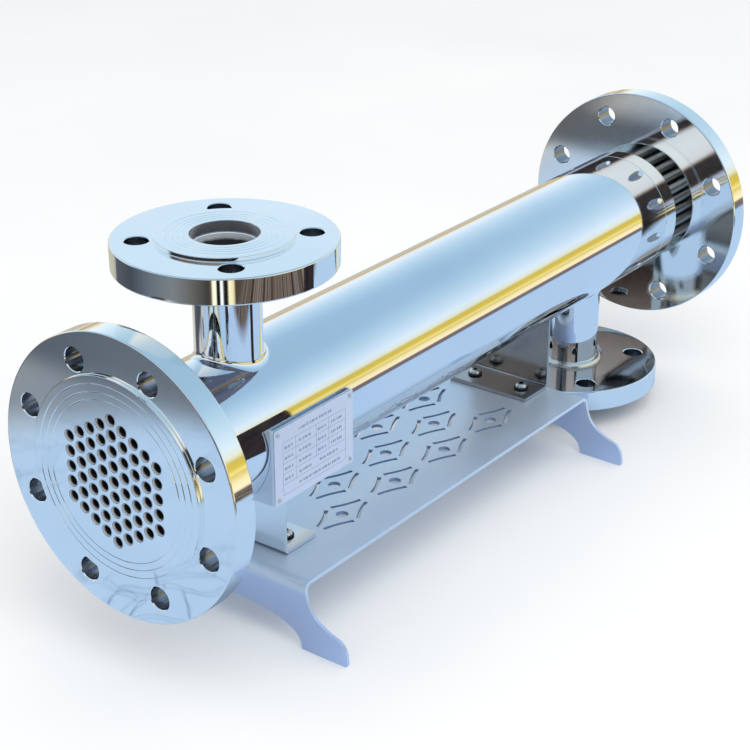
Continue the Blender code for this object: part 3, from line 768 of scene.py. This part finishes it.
def true_round(obj, radius):
    """Gives the outer side of a tube along X its exact round normals."""
    mesh = obj.data
    normals = []
    for polygon in mesh.polygons:
        is_side = abs(polygon.normal.z) < 0.1 and polygon.center.xy.length > radius * 0.99
        for index in polygon.vertices:
            out = mesh.vertices[index].co.xy.to_3d()
            is_outer = is_side and out.length > radius * 0.999
            normals.append(out.normalized() if is_outer else polygon.normal.copy())
    mesh.normals_split_custom_set(normals)


def shell():
    length = shell_high.x - shell_low.x
    inner = shell_radius - SHELL_WALL
    corners = [(inner, 0, 0), (shell_radius, 0, SEAM_ROUND)]
    for _, x, _, _ in BRANCHES:
        for side in (-1, 1):
            height = x - shell_low.x + side * SHELL_RING_REACH * BRANCH_RADIUS
            corners.append((shell_radius, height, 0))
    corners += [(shell_radius, length, SEAM_ROUND), (inner, length, 0)]
    body = turned("shell_pipe", corners, WIDE_ROUND, (shell_low.x, 0, axis_height), ALONG_X)
    for _, x, reach, rotation in BRANCHES:
        drill(body, [(0, 0)], BRANCH_RADIUS - BRANCH_WALL, shell_radius / 2, reach,
              (x, 0, axis_height), rotation, HOLE_ROUND)
    finished(body, polished, "polished_steel", "shell")
    true_round(body, shell_radius)


def branch_sections(back):
    """Rings of a set-on branch as (radius, height, follows the shell)."""
    outer, inner = BRANCH_RADIUS, BRANCH_RADIUS - BRANCH_WALL
    sections = [(inner, -FOOT_SINK, True)]
    for angle in quarter_turn(FILLET_STEPS):
        radius = outer + SHELL_FILLET * (1 - math.sin(angle))
        rise = SHELL_FILLET * (1 - math.cos(angle)) - FOOT_SINK
        sections.append((radius, rise, True))
    sections.append((outer, back - WELD_BEAD - BEAD_LEAD, False))
    for angle in quarter_turn(FILLET_STEPS // 2):
        swell = WELD_BEAD * math.sin(angle) ** 0.8
        sections.append((outer + swell, back - WELD_BEAD * math.cos(angle), False))
    lip = ((outer, back), (outer, pipe_mouth - SEAM_ROUND), (outer - SEAM_ROUND, pipe_mouth),
           (inner + SEAM_ROUND, pipe_mouth), (inner, pipe_mouth - SEAM_ROUND))
    return sections + [(radius, height, False) for radius, height in lip]


def branch_pipe(side, x, reach, rotation):
    """A pipe whose foot follows the shell, with a fillet there and a weld at the flange."""
    back = reach - RAISED_FACE - BRANCH_FLANGE_THICKNESS
    builder = bmesh.new()
    rings = []
    for radius, height, follows_shell in branch_sections(back):
        verts = []
        for step in range(PIPE_ROUND):
            angle = 2 * math.pi * step / PIPE_ROUND
            across = radius * math.sin(angle)
            surface = math.sqrt(shell_radius**2 - across**2)
            z = height + surface if follows_shell else height
            verts.append(builder.verts.new((radius * math.cos(angle), across, z)))
        rings.append(verts)
    for lower, upper in zip(rings, rings[1:] + rings[:1]):
        for step in range(PIPE_ROUND):
            after = (step + 1) % PIPE_ROUND
            builder.faces.new((lower[step], lower[after], upper[after], upper[step]))
    pipe = to_object(f"{side}_branch_neck", builder, (x, 0, axis_height), rotation)

    def is_bead(polygon):
        outside = polygon.center.xy.length > BRANCH_RADIUS * 1.002
        return outside and polygon.center.z > back - WELD_BEAD - BEAD_MARGIN

    finished(pipe, pipe_polish, "polished_steel", f"{side}_branch_pipe",
             looks=[(pipe_bore_lit_and_shaded, facing_axis), (weld_metal, is_bead)])


def branch_flange(side, x, reach, rotation):
    node = f"{side}_branch_flange"
    bore, shoulder = BRANCH_RADIUS + TUBE_FIT, reach - RAISED_FACE
    back = shoulder - BRANCH_FLANGE_THICKNESS
    bolts = circle_places(BRANCH_BOLTS, BRANCH_BOLT_CIRCLE / 2)
    plate = flange(node, bore, span(node)[1].x / 2, back, shoulder,
                   (BRANCH_FACE_RADIUS, BRANCH_GROOVES), bolts, (x, 0, axis_height), rotation)
    # The flange's back face gets a painted dark tone.
    back_painted_dark = underside_shade_metal if side == "top" else flange_back_dark_reflection
    looks = [(hole_shade_metal, in_holes(bolts, BOLT_HOLE_RADIUS + TUBE_FIT)),
             (bore_shade_metal, in_holes([(0, 0)], bore * 1.002)),
             (back_painted_dark, lambda face: face.center.z < back + FACE_ROUND / 10)]
    finished(plate, flange_polish, "flange_steel", node, looks=looks)


# ---------------------------------------------------------------- bench and saddles

screw_numbers = range(1, 5)
screw_spots = [span(f"saddle_screw_{number}")[0].xy for number in screw_numbers]


def bench_strip():
    """The folded strip in the XZ plane, as an outline: a flat top and two end plates."""
    start, end, top = bench_low.x, bench_high.x, bench_high.z
    bend, inside = BENCH_BEND, BENCH_BEND - SHEET_METAL
    steps = 3 * ARC_STEPS
    outline = [(start, -SHEET_METAL)]
    outline += arc((start + bend, top - bend), bend, 180, 90, steps)
    outline += arc((end - bend, top - bend), bend, 90, 0, steps)
    outline += [(end, -SHEET_METAL), (end - SHEET_METAL, -SHEET_METAL)]
    outline += arc((end - bend, top - bend), inside, 0, 90, steps)
    outline += arc((start + bend, top - bend), inside, 90, 180, steps)
    outline.append((start + SHEET_METAL, -SHEET_METAL))
    return outline


def bench_silhouette():
    """The end view in the YZ plane: flared feet on each side of a flat arch."""
    half_width, top = bench_high.y, bench_high.z
    flank = bezier((BENCH_HALF_WIDTH, top), *FLANK_HANDLES, FOOT_SHOULDER, 28)
    toe = bezier(FOOT_SHOULDER, *TOE_HANDLES, (half_width, FOOT_CORNER), 12)
    corner = arc((half_width - FOOT_CORNER, FOOT_CORNER), FOOT_CORNER, 0, -90, ARC_STEPS)
    arch = []
    for angle in quarter_turn(ARCH_STEPS)[:-1]:
        y = FOOT_INNER * math.cos(angle)
        z = ARCH_HEIGHT * (1 - (y / FOOT_INNER) ** ARCH_POWER) ** (1 / ARCH_POWER)
        arch.append((y, z))
    half = [(BENCH_HALF_WIDTH, top + SHEET_METAL)] + flank + toe[1:] + corner[1:] + arch
    return half + [(0.0, ARCH_HEIGHT)] + [(-y, z) for y, z in reversed(half)]


def unit_places():
    """Centres of the punched units: three in the middle row, four on each side of it."""
    rows = [(0.0, (-1, 0, 1))]
    rows += [(side * UNIT_ROW_OFFSET, (-1.5, -0.5, 0.5, 1.5)) for side in (1, -1)]
    return [(UNITS_CENTRE_X + step * UNIT_SPACING, y) for y, steps in rows for step in steps]


def slit_outline():
    """One slit of a unit: bowed inwards, and wider at its end on the Y side."""
    start, end = Vector(SLIT_START), Vector(SLIT_END)
    outwards = (end - start).orthogonal().normalized()
    if outwards.dot(start) < 0:
        outwards.negate()
    outer, inner = [], []
    steps = 8
    for step in range(steps + 1):
        t = step / steps
        bow = SLIT_BOW * 4 * t * (1 - t)
        width = SLIT_WIDTH / 2 * (SLIT_FLARE if step == 0 else 1.0)
        middle = start.lerp(end, t) - outwards * bow
        outer.append(middle + outwards * SLIT_WIDTH / 2)
        inner.append(middle - outwards * width)
    return outer + inner[::-1]


def punched_pattern(start, end):
    builder = bmesh.new()
    round_hole = [(0, start), (UNIT_HOLE_RADIUS, start), (UNIT_HOLE_RADIUS, end), (0, end)]
    for place in unit_places():
        lathe(round_hole, TUBE_ROUND, builder, place)
    slit = slit_outline()
    for x, y in unit_places():
        for side_x, side_y in ((1, 1), (-1, 1), (-1, -1), (1, -1)):
            outline = [(x + side_x * along, y + side_y * across, start) for along, across in slit]
            add_prism(builder, outline, (0, 0, end - start))
    return to_object("cutter", builder)


def in_punching(polygon):
    """Picks the upright walls of the slits and holes in the bench top."""
    middle = polygon.center
    upright = abs(polygon.normal.z) < 0.5
    on_top = middle.z > bench_high.z - SHEET_METAL - EDGE_ROUND
    clear_of_ends = bench_low.x + BENCH_BEND < middle.x < bench_high.x - BENCH_BEND
    return upright and on_top and clear_of_ends and abs(middle.y) < BENCH_HALF_WIDTH - EDGE_ROUND


def bench():
    spare = 0.02
    depth = bench_high.y - bench_low.y + 2 * spare
    strip = [(x, bench_low.y - spare, z) for x, z in bench_strip()]
    body = prism("bench_sheet", strip, (0, depth, 0))
    outline = [(bench_low.x - spare, y, z) for y, z in bench_silhouette()]
    length = bench_high.x - bench_low.x + 2 * spare
    carve(body, prism("cutter", outline, (length, 0, 0)), "INTERSECT")
    below, above = bench_high.z - 2 * SHEET_METAL, bench_high.z + SHEET_METAL
    carve(body, punched_pattern(below, above))
    drill(body, screw_spots, SCREW_HOLE_RADIUS, below, above)
    rounded_edges(body, EDGE_ROUND)
    finished(body, bench_satin, "bench_steel", "bench", looks=[(slit_shade_metal, in_punching)])


def saddle(name, direction, material):
    """A bent bracket: a plate across the shell with a cradle cut in it, and a foot."""
    low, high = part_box(name)
    plate_x = low.x if direction > 0 else high.x
    foot = high.x - low.x
    bend, steps = SADDLE_BEND, 2 * ARC_STEPS
    outline = [(foot, low.z), (foot, low.z + SHEET_METAL)]
    outline += arc((bend, low.z + bend), bend - SHEET_METAL, 270, 180, steps)
    outline += [(SHEET_METAL, axis_height), (0, axis_height)]
    outline += arc((bend, low.z + bend), bend, 180, 270, steps)
    points = [(plate_x + direction * x, low.y, z) for x, z in outline]
    body = prism(f"{name}_bracket", points, (0, high.y - low.y, 0))
    fit_to_shell(body, plate_x - foot / 2, -foot, 2 * foot)
    drill(body, screw_spots, SCREW_HOLE_RADIUS, bench_high.z, low.z + 2 * SHEET_METAL)
    rounded_edges(body, EDGE_ROUND)
    finished(body, material, "saddle_steel", name)


# ---------------------------------------------------------------- fasteners

def thread_profile(start, end, radius):
    """Points down a threaded shank: a shallow round groove at each turn."""
    points = []
    turns = int((start - end) / THREAD_PITCH)
    for turn in range(turns * 4 + 1):
        z = start - turn * THREAD_PITCH / 4
        points.append((radius - THREAD_DEPTH * (1 - math.cos(math.pi * turn / 2)), z))
    points.append((radius - THREAD_TAPER, end))
    return points


def screw(number):
    node = f"saddle_screw_{number}"
    low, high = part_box(node)
    middle, size = span(node)
    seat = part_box(f"saddle_washer_{number}")[1].z + HEAD_CLEARANCE
    radius, rise = size.x / 2, high.z - seat - HEAD_LIP
    profile = [(0, low.z)] + thread_profile(seat, low.z, THREAD_RADIUS)[::-1]
    profile.append((radius - HEAD_LIP, seat))
    for angle in quarter_turn(FILLET_STEPS):
        spread = (radius - HEAD_TOP_RADIUS) * math.cos(angle)
        profile.append((HEAD_TOP_RADIUS + spread, seat + HEAD_LIP + rise * math.sin(angle)))
    profile.append((0, high.z))
    place = (middle.x, middle.y, 0)
    body = to_object(f"{node}_button", lathe(profile, HOLE_ROUND), place)
    socket = hexagon(SOCKET_RADIUS, high.z - SOCKET_DEPTH)
    carve(body, prism("cutter", socket, (0, 0, 2 * SOCKET_DEPTH), place))
    in_socket = in_holes([(0, 0)], SOCKET_RADIUS * 1.001)
    floor = high.z - SOCKET_DEPTH * 1.01
    looks = [(socket_shade_metal, lambda face: face.center.z > floor and in_socket(face))]
    finished(body, fastener_metal, "fastener_steel", node, looks=looks)


def washer(number):
    node = f"saddle_washer_{number}"
    low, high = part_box(node)
    middle, size = span(node)
    corners = ring(SCREW_HOLE_RADIUS, size.x / 2, low.z, high.z, (high.z - low.z) * 0.3)
    body = turned(f"{node}_ring", corners, HOLE_ROUND, (middle.x, middle.y, 0))
    finished(body, washer_rubber, "washer_rubber", node)


def nut(number):
    """Hexagon nut, its corners turned off at both ends."""
    node = f"saddle_nut_{number}"
    low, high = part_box(node)
    middle, size = span(node)
    radius, place = size.x / 2, (middle.x, middle.y, 0)
    body = prism(f"{node}_hexagon", hexagon(radius, low.z), (0, 0, high.z - low.z), place)
    flat, drop, clear = radius * NUT_FLAT, radius * NUT_DROP, radius * 1.01
    drum = [(0, low.z), (flat, low.z), (clear, low.z + drop),
            (clear, high.z - drop), (flat, high.z), (0, high.z)]
    carve(body, to_object("cutter", lathe(drum, HOLE_ROUND), place), "INTERSECT")
    drill(body, [(0, 0)], THREAD_RADIUS + TUBE_FIT * 3, low.z, high.z, place)
    finished(body, fastener_metal, "fastener_steel", node)


# ---------------------------------------------------------------- nameplate

plate_low, plate_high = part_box("nameplate")
plate_width, plate_height = plate_high.x - plate_low.x, plate_high.z - plate_low.z
rivet_numbers = range(1, 5)
rivet_spots = [span(f"nameplate_rivet_{number}")[0] for number in rivet_numbers]


def drill_for_rivets(obj):
    """Cuts the rivets' holes along Y, through the plate or its carrier."""
    places = [(spot.x, spot.z) for spot in rivet_spots]
    drill(obj, places, RIVET_HOLE_RADIUS, -RIVET_HOLE_REACH, RIVET_HOLE_REACH,
          (0, plate_low.y, 0), AGAINST_Y)


def nameplate():
    """A sheet across Y, its four corners rounded."""
    corner = PLATE_CORNER
    left, right = plate_low.x + corner, plate_high.x - corner
    bottom, top = plate_low.z + corner, plate_high.z - corner
    outline = []
    for x, z, start in ((right, top, 0), (left, top, 90), (left, bottom, 180), (right, bottom, 270)):
        outline += arc((x, z), corner, start, start + 90, ARC_STEPS)
    points = [(x, plate_low.y, z) for x, z in outline]
    plate = prism("nameplate_sheet", points, (0, plate_high.y - plate_low.y, 0))
    drill_for_rivets(plate)
    rounded_edges(plate, PLATE_ROUND)
    finished(plate, plate_metal, "nameplate_metal", "nameplate")


def nameplate_carrier():
    """A channel of sheet: a flat front, and two sides cut to sit on the shell."""
    low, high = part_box("nameplate_carrier")
    wall, bend, inside = CARRIER_WALL, CARRIER_BEND, CARRIER_BEND - CARRIER_WALL
    left, right = (low.x + bend, low.y + bend), (high.x - bend, low.y + bend)
    outline = [(low.x, 0)] + arc(left, bend, 180, 270, ARC_STEPS)
    outline += arc(right, bend, 270, 360, ARC_STEPS)
    outline += [(high.x, 0), (high.x - wall, 0)]
    outline += arc(right, inside, 360, 270, ARC_STEPS) + arc(left, inside, 270, 180, ARC_STEPS)
    outline.append((low.x + wall, 0))
    points = [(x, y, low.z) for x, y in outline]
    body = prism("nameplate_channel", points, (0, 0, high.z - low.z))
    length = high.x - low.x
    fit_to_shell(body, low.x, -length, 2 * length)
    drill_for_rivets(body)
    rounded_edges(body, PLATE_ROUND)
    finished(body, bench_satin, "bench_steel", "nameplate_carrier")


def rivet(number):
    node = f"nameplate_rivet_{number}"
    low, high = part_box(node)
    middle, size = span(node)
    radius, depth, head = size.x / 2, high.y - plate_low.y, plate_low.y - low.y
    profile = [(0, -depth), (RIVET_SHANK, -depth), (RIVET_SHANK, 0), (radius, 0)]
    for angle in quarter_turn(FILLET_STEPS)[1:-1]:
        profile.append((radius * math.cos(angle), head * math.sin(angle)))
    profile.append((0, head))
    place = (middle.x, plate_low.y, middle.z)
    body = to_object(f"{node}_dome", lathe(profile, TUBE_ROUND), place, AGAINST_Y)
    finished(body, fastener_metal, "fastener_steel", node)


def print_bar(builder, left, right, bottom, top):
    """A flat printed bar on the plate, given in shares of its width and height."""
    front = plate_low.y - PRINT_HEIGHT
    x0, x1 = plate_low.x + left * plate_width, plate_low.x + right * plate_width
    z0, z1 = plate_low.z + bottom * plate_height, plate_low.z + top * plate_height
    corners = ((x0, z0), (x1, z0), (x1, z1), (x0, z1))
    add_prism(builder, [(x, front, z) for x, z in corners], (0, PRINT_HEIGHT * 0.9, 0))


def print_dashes(builder, start, end, bottom):
    """A row of short bars where an entry would be."""
    dashes = max(2, round((end - start) / DASH_PITCH))
    step = (end - start) / dashes
    for dash in range(dashes):
        share = PRINT_SHARES[(dash + dashes) % len(PRINT_SHARES)]
        print_bar(builder, start + dash * step, start + (dash + share) * step,
                  bottom, bottom + DASH_HEIGHT)


def nameplate_print():
    """A plain table: ruled lines, and short bars where entries would be."""
    builder = bmesh.new()
    thin_x, thin_z = PRINT_LINE / plate_width / 2, PRINT_LINE / plate_height / 2
    for row in TABLE_ROWS:
        print_bar(builder, *TABLE_SIDES, row - thin_z, row + thin_z)
    for column, first in [(side, 0) for side in TABLE_SIDES] + list(TABLE_DIVIDERS):
        print_bar(builder, column - thin_x, column + thin_x, TABLE_ROWS[first], TABLE_ROWS[-1])
    for rows, entries in TABLE_ENTRIES:
        for row in rows:
            for start, end in entries:
                print_dashes(builder, start, end, TABLE_ROWS[row] + CELL_LIFT)
    print_dashes(builder, *TABLE_TITLE)
    finished(to_object("nameplate_ruling", builder), plate_ink, "nameplate_metal")


# ---------------------------------------------------------------- surroundings

def sky_stops(*low_tones):
    """Colours by the sine of the elevation: a horizon and low sky, then the shared sky."""
    tones = [*zip((0.0, 0.045, 0.105, 0.150), low_tones), *SHARED_SKY]
    return [(at, reflected(*tone)) for at, tone in tones]


SHARED_SKY = (
    (0.230, (219, 234, 245)), (0.358, (199, 221, 240)), (0.454, (184, 211, 231)),
    (0.53, (172, 203, 225)), (0.588, (163, 195, 221)), (0.643, (155, 187, 215)),
    (0.75, (150, 182, 208)), (1.0, (140, 172, 200)),
)
NEAR_END_SKY = (
    (0.0, (168, 178, 205)), (0.06, (160, 170, 196)), (0.085, (84, 70, 60)), (0.13, (40, 38, 40)),
    (0.28, (52, 48, 48)), (0.36, (46, 43, 44)), (0.385, (92, 74, 62)), (0.40, (160, 150, 142)),
    (0.42, (212, 214, 218)), (0.56, (222, 226, 230)), (0.66, (186, 204, 220)),
    (0.80, (152, 184, 210)), (1.0, (140, 172, 200)),
)


def make_world():
    """Pale studio light, while polished metal mirrors a yard under a clear sky."""
    world = bpy.data.worlds.new("surroundings")
    bpy.context.scene.world = world
    world.use_nodes = True
    tree = world.node_tree
    tree.nodes.clear()
    x, y, height = separated(tree, add_node(tree, "ShaderNodeTexCoord").outputs["Generated"])
    gold_side = ramp(tree, height, sky_stops((244, 226, 150), (216, 190, 74),
                                             (206, 184, 88), (226, 228, 206)))
    far_side = ramp(tree, height, sky_stops((150, 128, 104), (205, 186, 150),
                                            (226, 220, 204), (230, 238, 240)))
    near_end = ramp(tree, height, [(at, reflected(*tone)) for at, tone in NEAR_END_SKY])
    sky = blend_colours(tree, patch(tree, (y, -0.35, 0.1)), gold_side, far_side)
    sky = blend_colours(tree, patch(tree, (x, -0.42, -0.58)), sky, near_end)
    mirrored = add_node(tree, "ShaderNodeBackground", {"Color": sky})
    studio = add_node(tree, "ShaderNodeBackground", {"Color": (1.0, 1.0, 1.0), "Strength": 0.92})
    mix = add_node(tree, "ShaderNodeMixShader", {
        0: add_node(tree, "ShaderNodeLightPath").outputs["Is Glossy Ray"],
        1: studio.outputs["Background"], 2: mirrored.outputs["Background"]})
    add_node(tree, "ShaderNodeOutputWorld", {"Surface": mix.outputs["Shader"]})


def card(name, corners, material):
    mesh = bpy.data.meshes.new(name)
    mesh.from_pydata(corners, [], [(0, 1, 2, 3)])
    mesh.materials.append(material)
    return link(name, mesh)


def square(half, z):
    return [(-half, -half, z), (half, -half, z), (half, half, z), (-half, half, z)]


def make_floor():
    material, tree, shader = new_material("pale_floor")
    tone = ramp(tree, noise(tree, stretched(tree), 2.0), [(0.3, (0.90, 0.91, 0.92)),
                                                          (0.7, (0.94, 0.95, 0.955))])
    set_inputs(tree, shader, {"Base Color": tone, "Roughness": 0.8, "Specular IOR Level": 0.1})
    floor = card("floor", square(30.0, -0.0002), material)
    floor.visible_glossy = False


GROUND_BANDS = (
    (-4.0, (226, 203, 120)), (-2.4, (240, 220, 160)), (-1.3, (250, 236, 190)),
    (-0.98, (250, 238, 200)), (-0.88, (150, 118, 98)), (-0.74, (112, 100, 102)),
    (-0.62, (112, 112, 124)), (-0.565, (172, 199, 229)), (0.33, (172, 199, 229)),
    (0.42, (178, 190, 205)), (0.50, (208, 205, 196)), (0.80, (185, 182, 165)),
    (1.9, (190, 178, 157)), (4.0, (215, 205, 185)),
)
SHEETING_END_X = -0.74
YARD_CENTRE = (-0.249, 0.0, 0.0)
YARD_BANDS = (
    (-180, (84, 90, 98)), (-150, (66, 72, 82)), (-125, (96, 106, 118)), (-100, (118, 124, 130)),
    (-80, (96, 96, 94)), (-66, (62, 60, 58)), (-62.5, (74, 70, 60)), (-61, (250, 246, 214)),
    (-58, (250, 246, 222)), (-57.5, (26, 24, 24)), (-54.5, (26, 24, 24)), (-54, (246, 248, 250)),
    (-51.5, (246, 248, 250)), (-51, (26, 24, 24)), (-47, (26, 24, 24)), (-46.5, (250, 244, 206)),
    (-42, (236, 222, 176)), (-40, (74, 62, 54)), (-30, (88, 74, 64)), (-22, (60, 52, 48)),
    (-16, (118, 106, 98)), (0, (130, 122, 118)), (40, (150, 150, 160)),
)
FRONT_STRIP_TONES = (
    (0.36, (52, 44, 40)), (0.48, (96, 82, 74)), (0.56, (132, 122, 116)), (0.64, (90, 84, 84)),
)
SHADE_MIDDLE_X = -0.06
SHADE_HALF_LENGTH = 0.19
SHADE_STRENGTH = 0.42
DARK_PATCH = (0.25, 0.11)
DARK_PATCH_STRENGTH = 0.06
SCREEN_X = 0.0
SCREEN_CORNERS = ((-0.31, 0.0), (-0.465, 0.0), (-0.465, 0.275), (-0.31, 0.235))


def banded(tree, value, bands):
    """The bands' display colours along a value, whose range is that of the bands."""
    first, last = bands[0][0], bands[-1][0]
    stops = [((at - first) / (last - first), reflected(*tone)) for at, tone in bands]
    return ramp(tree, ranged(tree, value, first, last), stops)


def broken_lines(tree, place):
    """Fine broken lines, as in old ice or dried paint."""
    wave = add_node(tree, "ShaderNodeTexNoise", {"Vector": place, "Scale": 9.0})
    wander = add_node(tree, "ShaderNodeVectorMath", {
        0: wave.outputs["Color"], 1: (0.09, 0.09, 0.0), 2: place}, operation="MULTIPLY_ADD")
    cells = add_node(tree, "ShaderNodeTexVoronoi", {
        "Vector": wander.outputs["Vector"], "Scale": 26.0}, feature="DISTANCE_TO_EDGE")
    thin = ranged(tree, cells.outputs["Distance"], 0.006, 0.02, 0.7, 0.0)
    return product(tree, thin, ranged(tree, noise(tree, place, 5.0), 0.44, 0.56))


def length_of(tree, first, second):
    """Length of the diagonal of two sides."""
    squares = maths(tree, "ADD", product(tree, first, first), product(tree, second, second))
    return maths(tree, "SQRT", squares)


def ground_shade(tree, x, y):
    """How bright the ground is left by the object that stands over it."""
    beyond = maths(tree, "ABSOLUTE", maths(tree, "SUBTRACT", x, SHADE_MIDDLE_X))
    beyond = maths(tree, "MAXIMUM", maths(tree, "SUBTRACT", beyond, SHADE_HALF_LENGTH), 0.0)
    across = maths(tree, "SUBTRACT", x, DARK_PATCH[0])
    along = product(tree, maths(tree, "SUBTRACT", y, DARK_PATCH[1]), 0.75)
    return patch(tree, (length_of(tree, beyond, y), 0.05, 0.15, SHADE_STRENGTH, 1.0),
                 (length_of(tree, across, along), 0.11, 0.17, DARK_PATCH_STRENGTH, 1.0))


def front_strip_colour(tree, x):
    streaks = add_node(tree, "ShaderNodeTexNoise", {"W": x, "Scale": 26.0}, noise_dimensions="1D")
    stops = [(at, reflected(*tone)) for at, tone in FRONT_STRIP_TONES]
    return ramp(tree, streaks.outputs["Fac"], stops)


def yard_colour(tree, place):
    """The yard past the sheeting's near end, in wedges round the upper branch."""
    from_centre = add_node(tree, "ShaderNodeVectorMath", {0: place, 1: YARD_CENTRE},
                           operation="SUBTRACT")
    x, y, _ = separated(tree, from_centre.outputs["Vector"])
    turn = maths(tree, "ARCTAN2", x, product(tree, y, -1.0))
    return banded(tree, turn, [(math.radians(at), tone) for at, tone in YARD_BANDS])


def ground_colour(tree):
    """Pale sheeting with dark patches behind the object, a dark strip in front, and the yard round
    it all.
    """
    place = stretched(tree)
    x, y, _ = separated(tree, place)
    slant = maths(tree, "SUBTRACT", y, product(tree, x, 1.3))
    lines = product(tree, broken_lines(tree, place), ranged(tree, x, -0.42, -0.36, 1.0, 0.0))
    behind = patch(tree, (y, 0.26, 0.31), (y, 0.55, 0.75, 1.0, 0.0), (x, -0.27, -0.19, 0.9, 0.0),
                   (x, -0.50, -0.40))
    corner = patch(tree, (slant, 1.13, 1.29, 0.0, 0.85), (x, -0.50, -0.42, 1.0, 0.0))
    front_strip = patch(tree, (y, -0.92, -0.88), (y, -0.63, -0.60, 1.0, 0.0), (x, 0.30, 0.45, 1.0, 0.0),
                 smooth=False)
    past_end = patch(tree, (x, SHEETING_END_X + 0.04, SHEETING_END_X - 0.02))
    past_side = patch(tree, (y, 0.50, 0.56), (x, -0.25, -0.15, 1.0, 0.0))
    colour = banded(tree, y, GROUND_BANDS)
    for share, tone in (
        (lines, reflected(84, 104, 150)), (behind, reflected(66, 70, 78)),
        (corner, reflected(118, 126, 138)), (front_strip, front_strip_colour(tree, x)),
        (maths(tree, "MAXIMUM", past_end, past_side), yard_colour(tree, place)),
    ):
        colour = blend_colours(tree, share, colour, tone)
    shaded = add_node(tree, "ShaderNodeVectorMath", {
        0: colour, "Scale": ground_shade(tree, x, y)}, operation="SCALE")
    return shaded.outputs["Vector"]


def screen_colour(tree):
    folds = noise(tree, stretched(tree, (1, 1, 0.2)), 30.0)
    return ramp(tree, folds, [(0.35, reflected(24, 22, 26)), (0.62, reflected(52, 46, 48))])


def make_mirrored(name, corners, colour_of):
    """A glowing card that only polished metal sees, by mirror reflection."""
    material = bpy.data.materials.new(name)
    material.use_nodes = True
    tree = material.node_tree
    tree.nodes.clear()
    glow = add_node(tree, "ShaderNodeEmission", {"Color": colour_of(tree)})
    add_node(tree, "ShaderNodeOutputMaterial", {"Surface": glow.outputs["Emission"]})
    obj = card(name, corners, material)
    obj.visible_camera = False
    obj.visible_diffuse = False
    obj.visible_shadow = False
    obj.visible_transmission = False


def make_light():
    """One large soft panel over the near left, which polished metal doesn't mirror."""
    data = bpy.data.lights.new("soft_panel", "AREA")
    data.shape = "DISK"
    data.size = 2.4
    data.energy = 30.0
    data.color = (1.0, 0.985, 0.96)
    panel = link("soft_panel", data, (-0.9, -1.5, 2.4))
    panel.rotation_euler = (-panel.location).to_track_quat("-Z", "Y").to_euler()
    panel.visible_glossy = False


def make_camera():
    azimuth, elevation = math.radians(VIEW_AZIMUTH), math.radians(VIEW_ELEVATION)
    back = Vector((math.sin(azimuth) * math.cos(elevation),
                   -math.cos(azimuth) * math.cos(elevation), math.sin(elevation)))
    data = bpy.data.cameras.new("camera")
    data.lens = VIEW_LENS
    data.sensor_width = SENSOR_WIDTH
    data.clip_start = 0.05
    turn = (-back).to_track_quat("-Z", "Y").to_euler()
    camera = link("camera", data, Vector(VIEW_AIM) + back * VIEW_DISTANCE, turn)
    bpy.context.scene.camera = camera


# ---------------------------------------------------------------- assembly

make_camera()
make_world()
make_floor()
make_mirrored("mirrored_ground", square(40.0, -0.004), ground_colour)
make_mirrored("dark_screen", [(SCREEN_X, y, z) for y, z in SCREEN_CORNERS], screen_colour)
make_light()
bpy.context.scene.view_settings.view_transform = "Standard"

outer_tube_sheet("near_outer_tube_sheet", near_high.x, AGAINST_X)
outer_tube_sheet("far_outer_tube_sheet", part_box("far_outer_tube_sheet")[0].x, ALONG_X)
inner_tube_sheet("near_inner_tube_sheet")
inner_tube_sheet("far_inner_tube_sheet")
tubes()
for number in (1, 2, 3):
    baffle(f"baffle_{number}")
for number in (1, 2):
    tie_rod(f"tie_rod_{number}")
shell()
for side, x, reach, rotation in BRANCHES:
    branch_pipe(side, x, reach, rotation)
    branch_flange(side, x, reach, rotation)
bench()
saddle("front_saddle", 1, saddle_polish)
saddle("rear_saddle", -1, rear_saddle_dark_reflection)
for number in screw_numbers:
    screw(number)
    washer(number)
    nut(number)
nameplate()
nameplate_carrier()
nameplate_print()
for number in rivet_numbers:
    rivet(number)
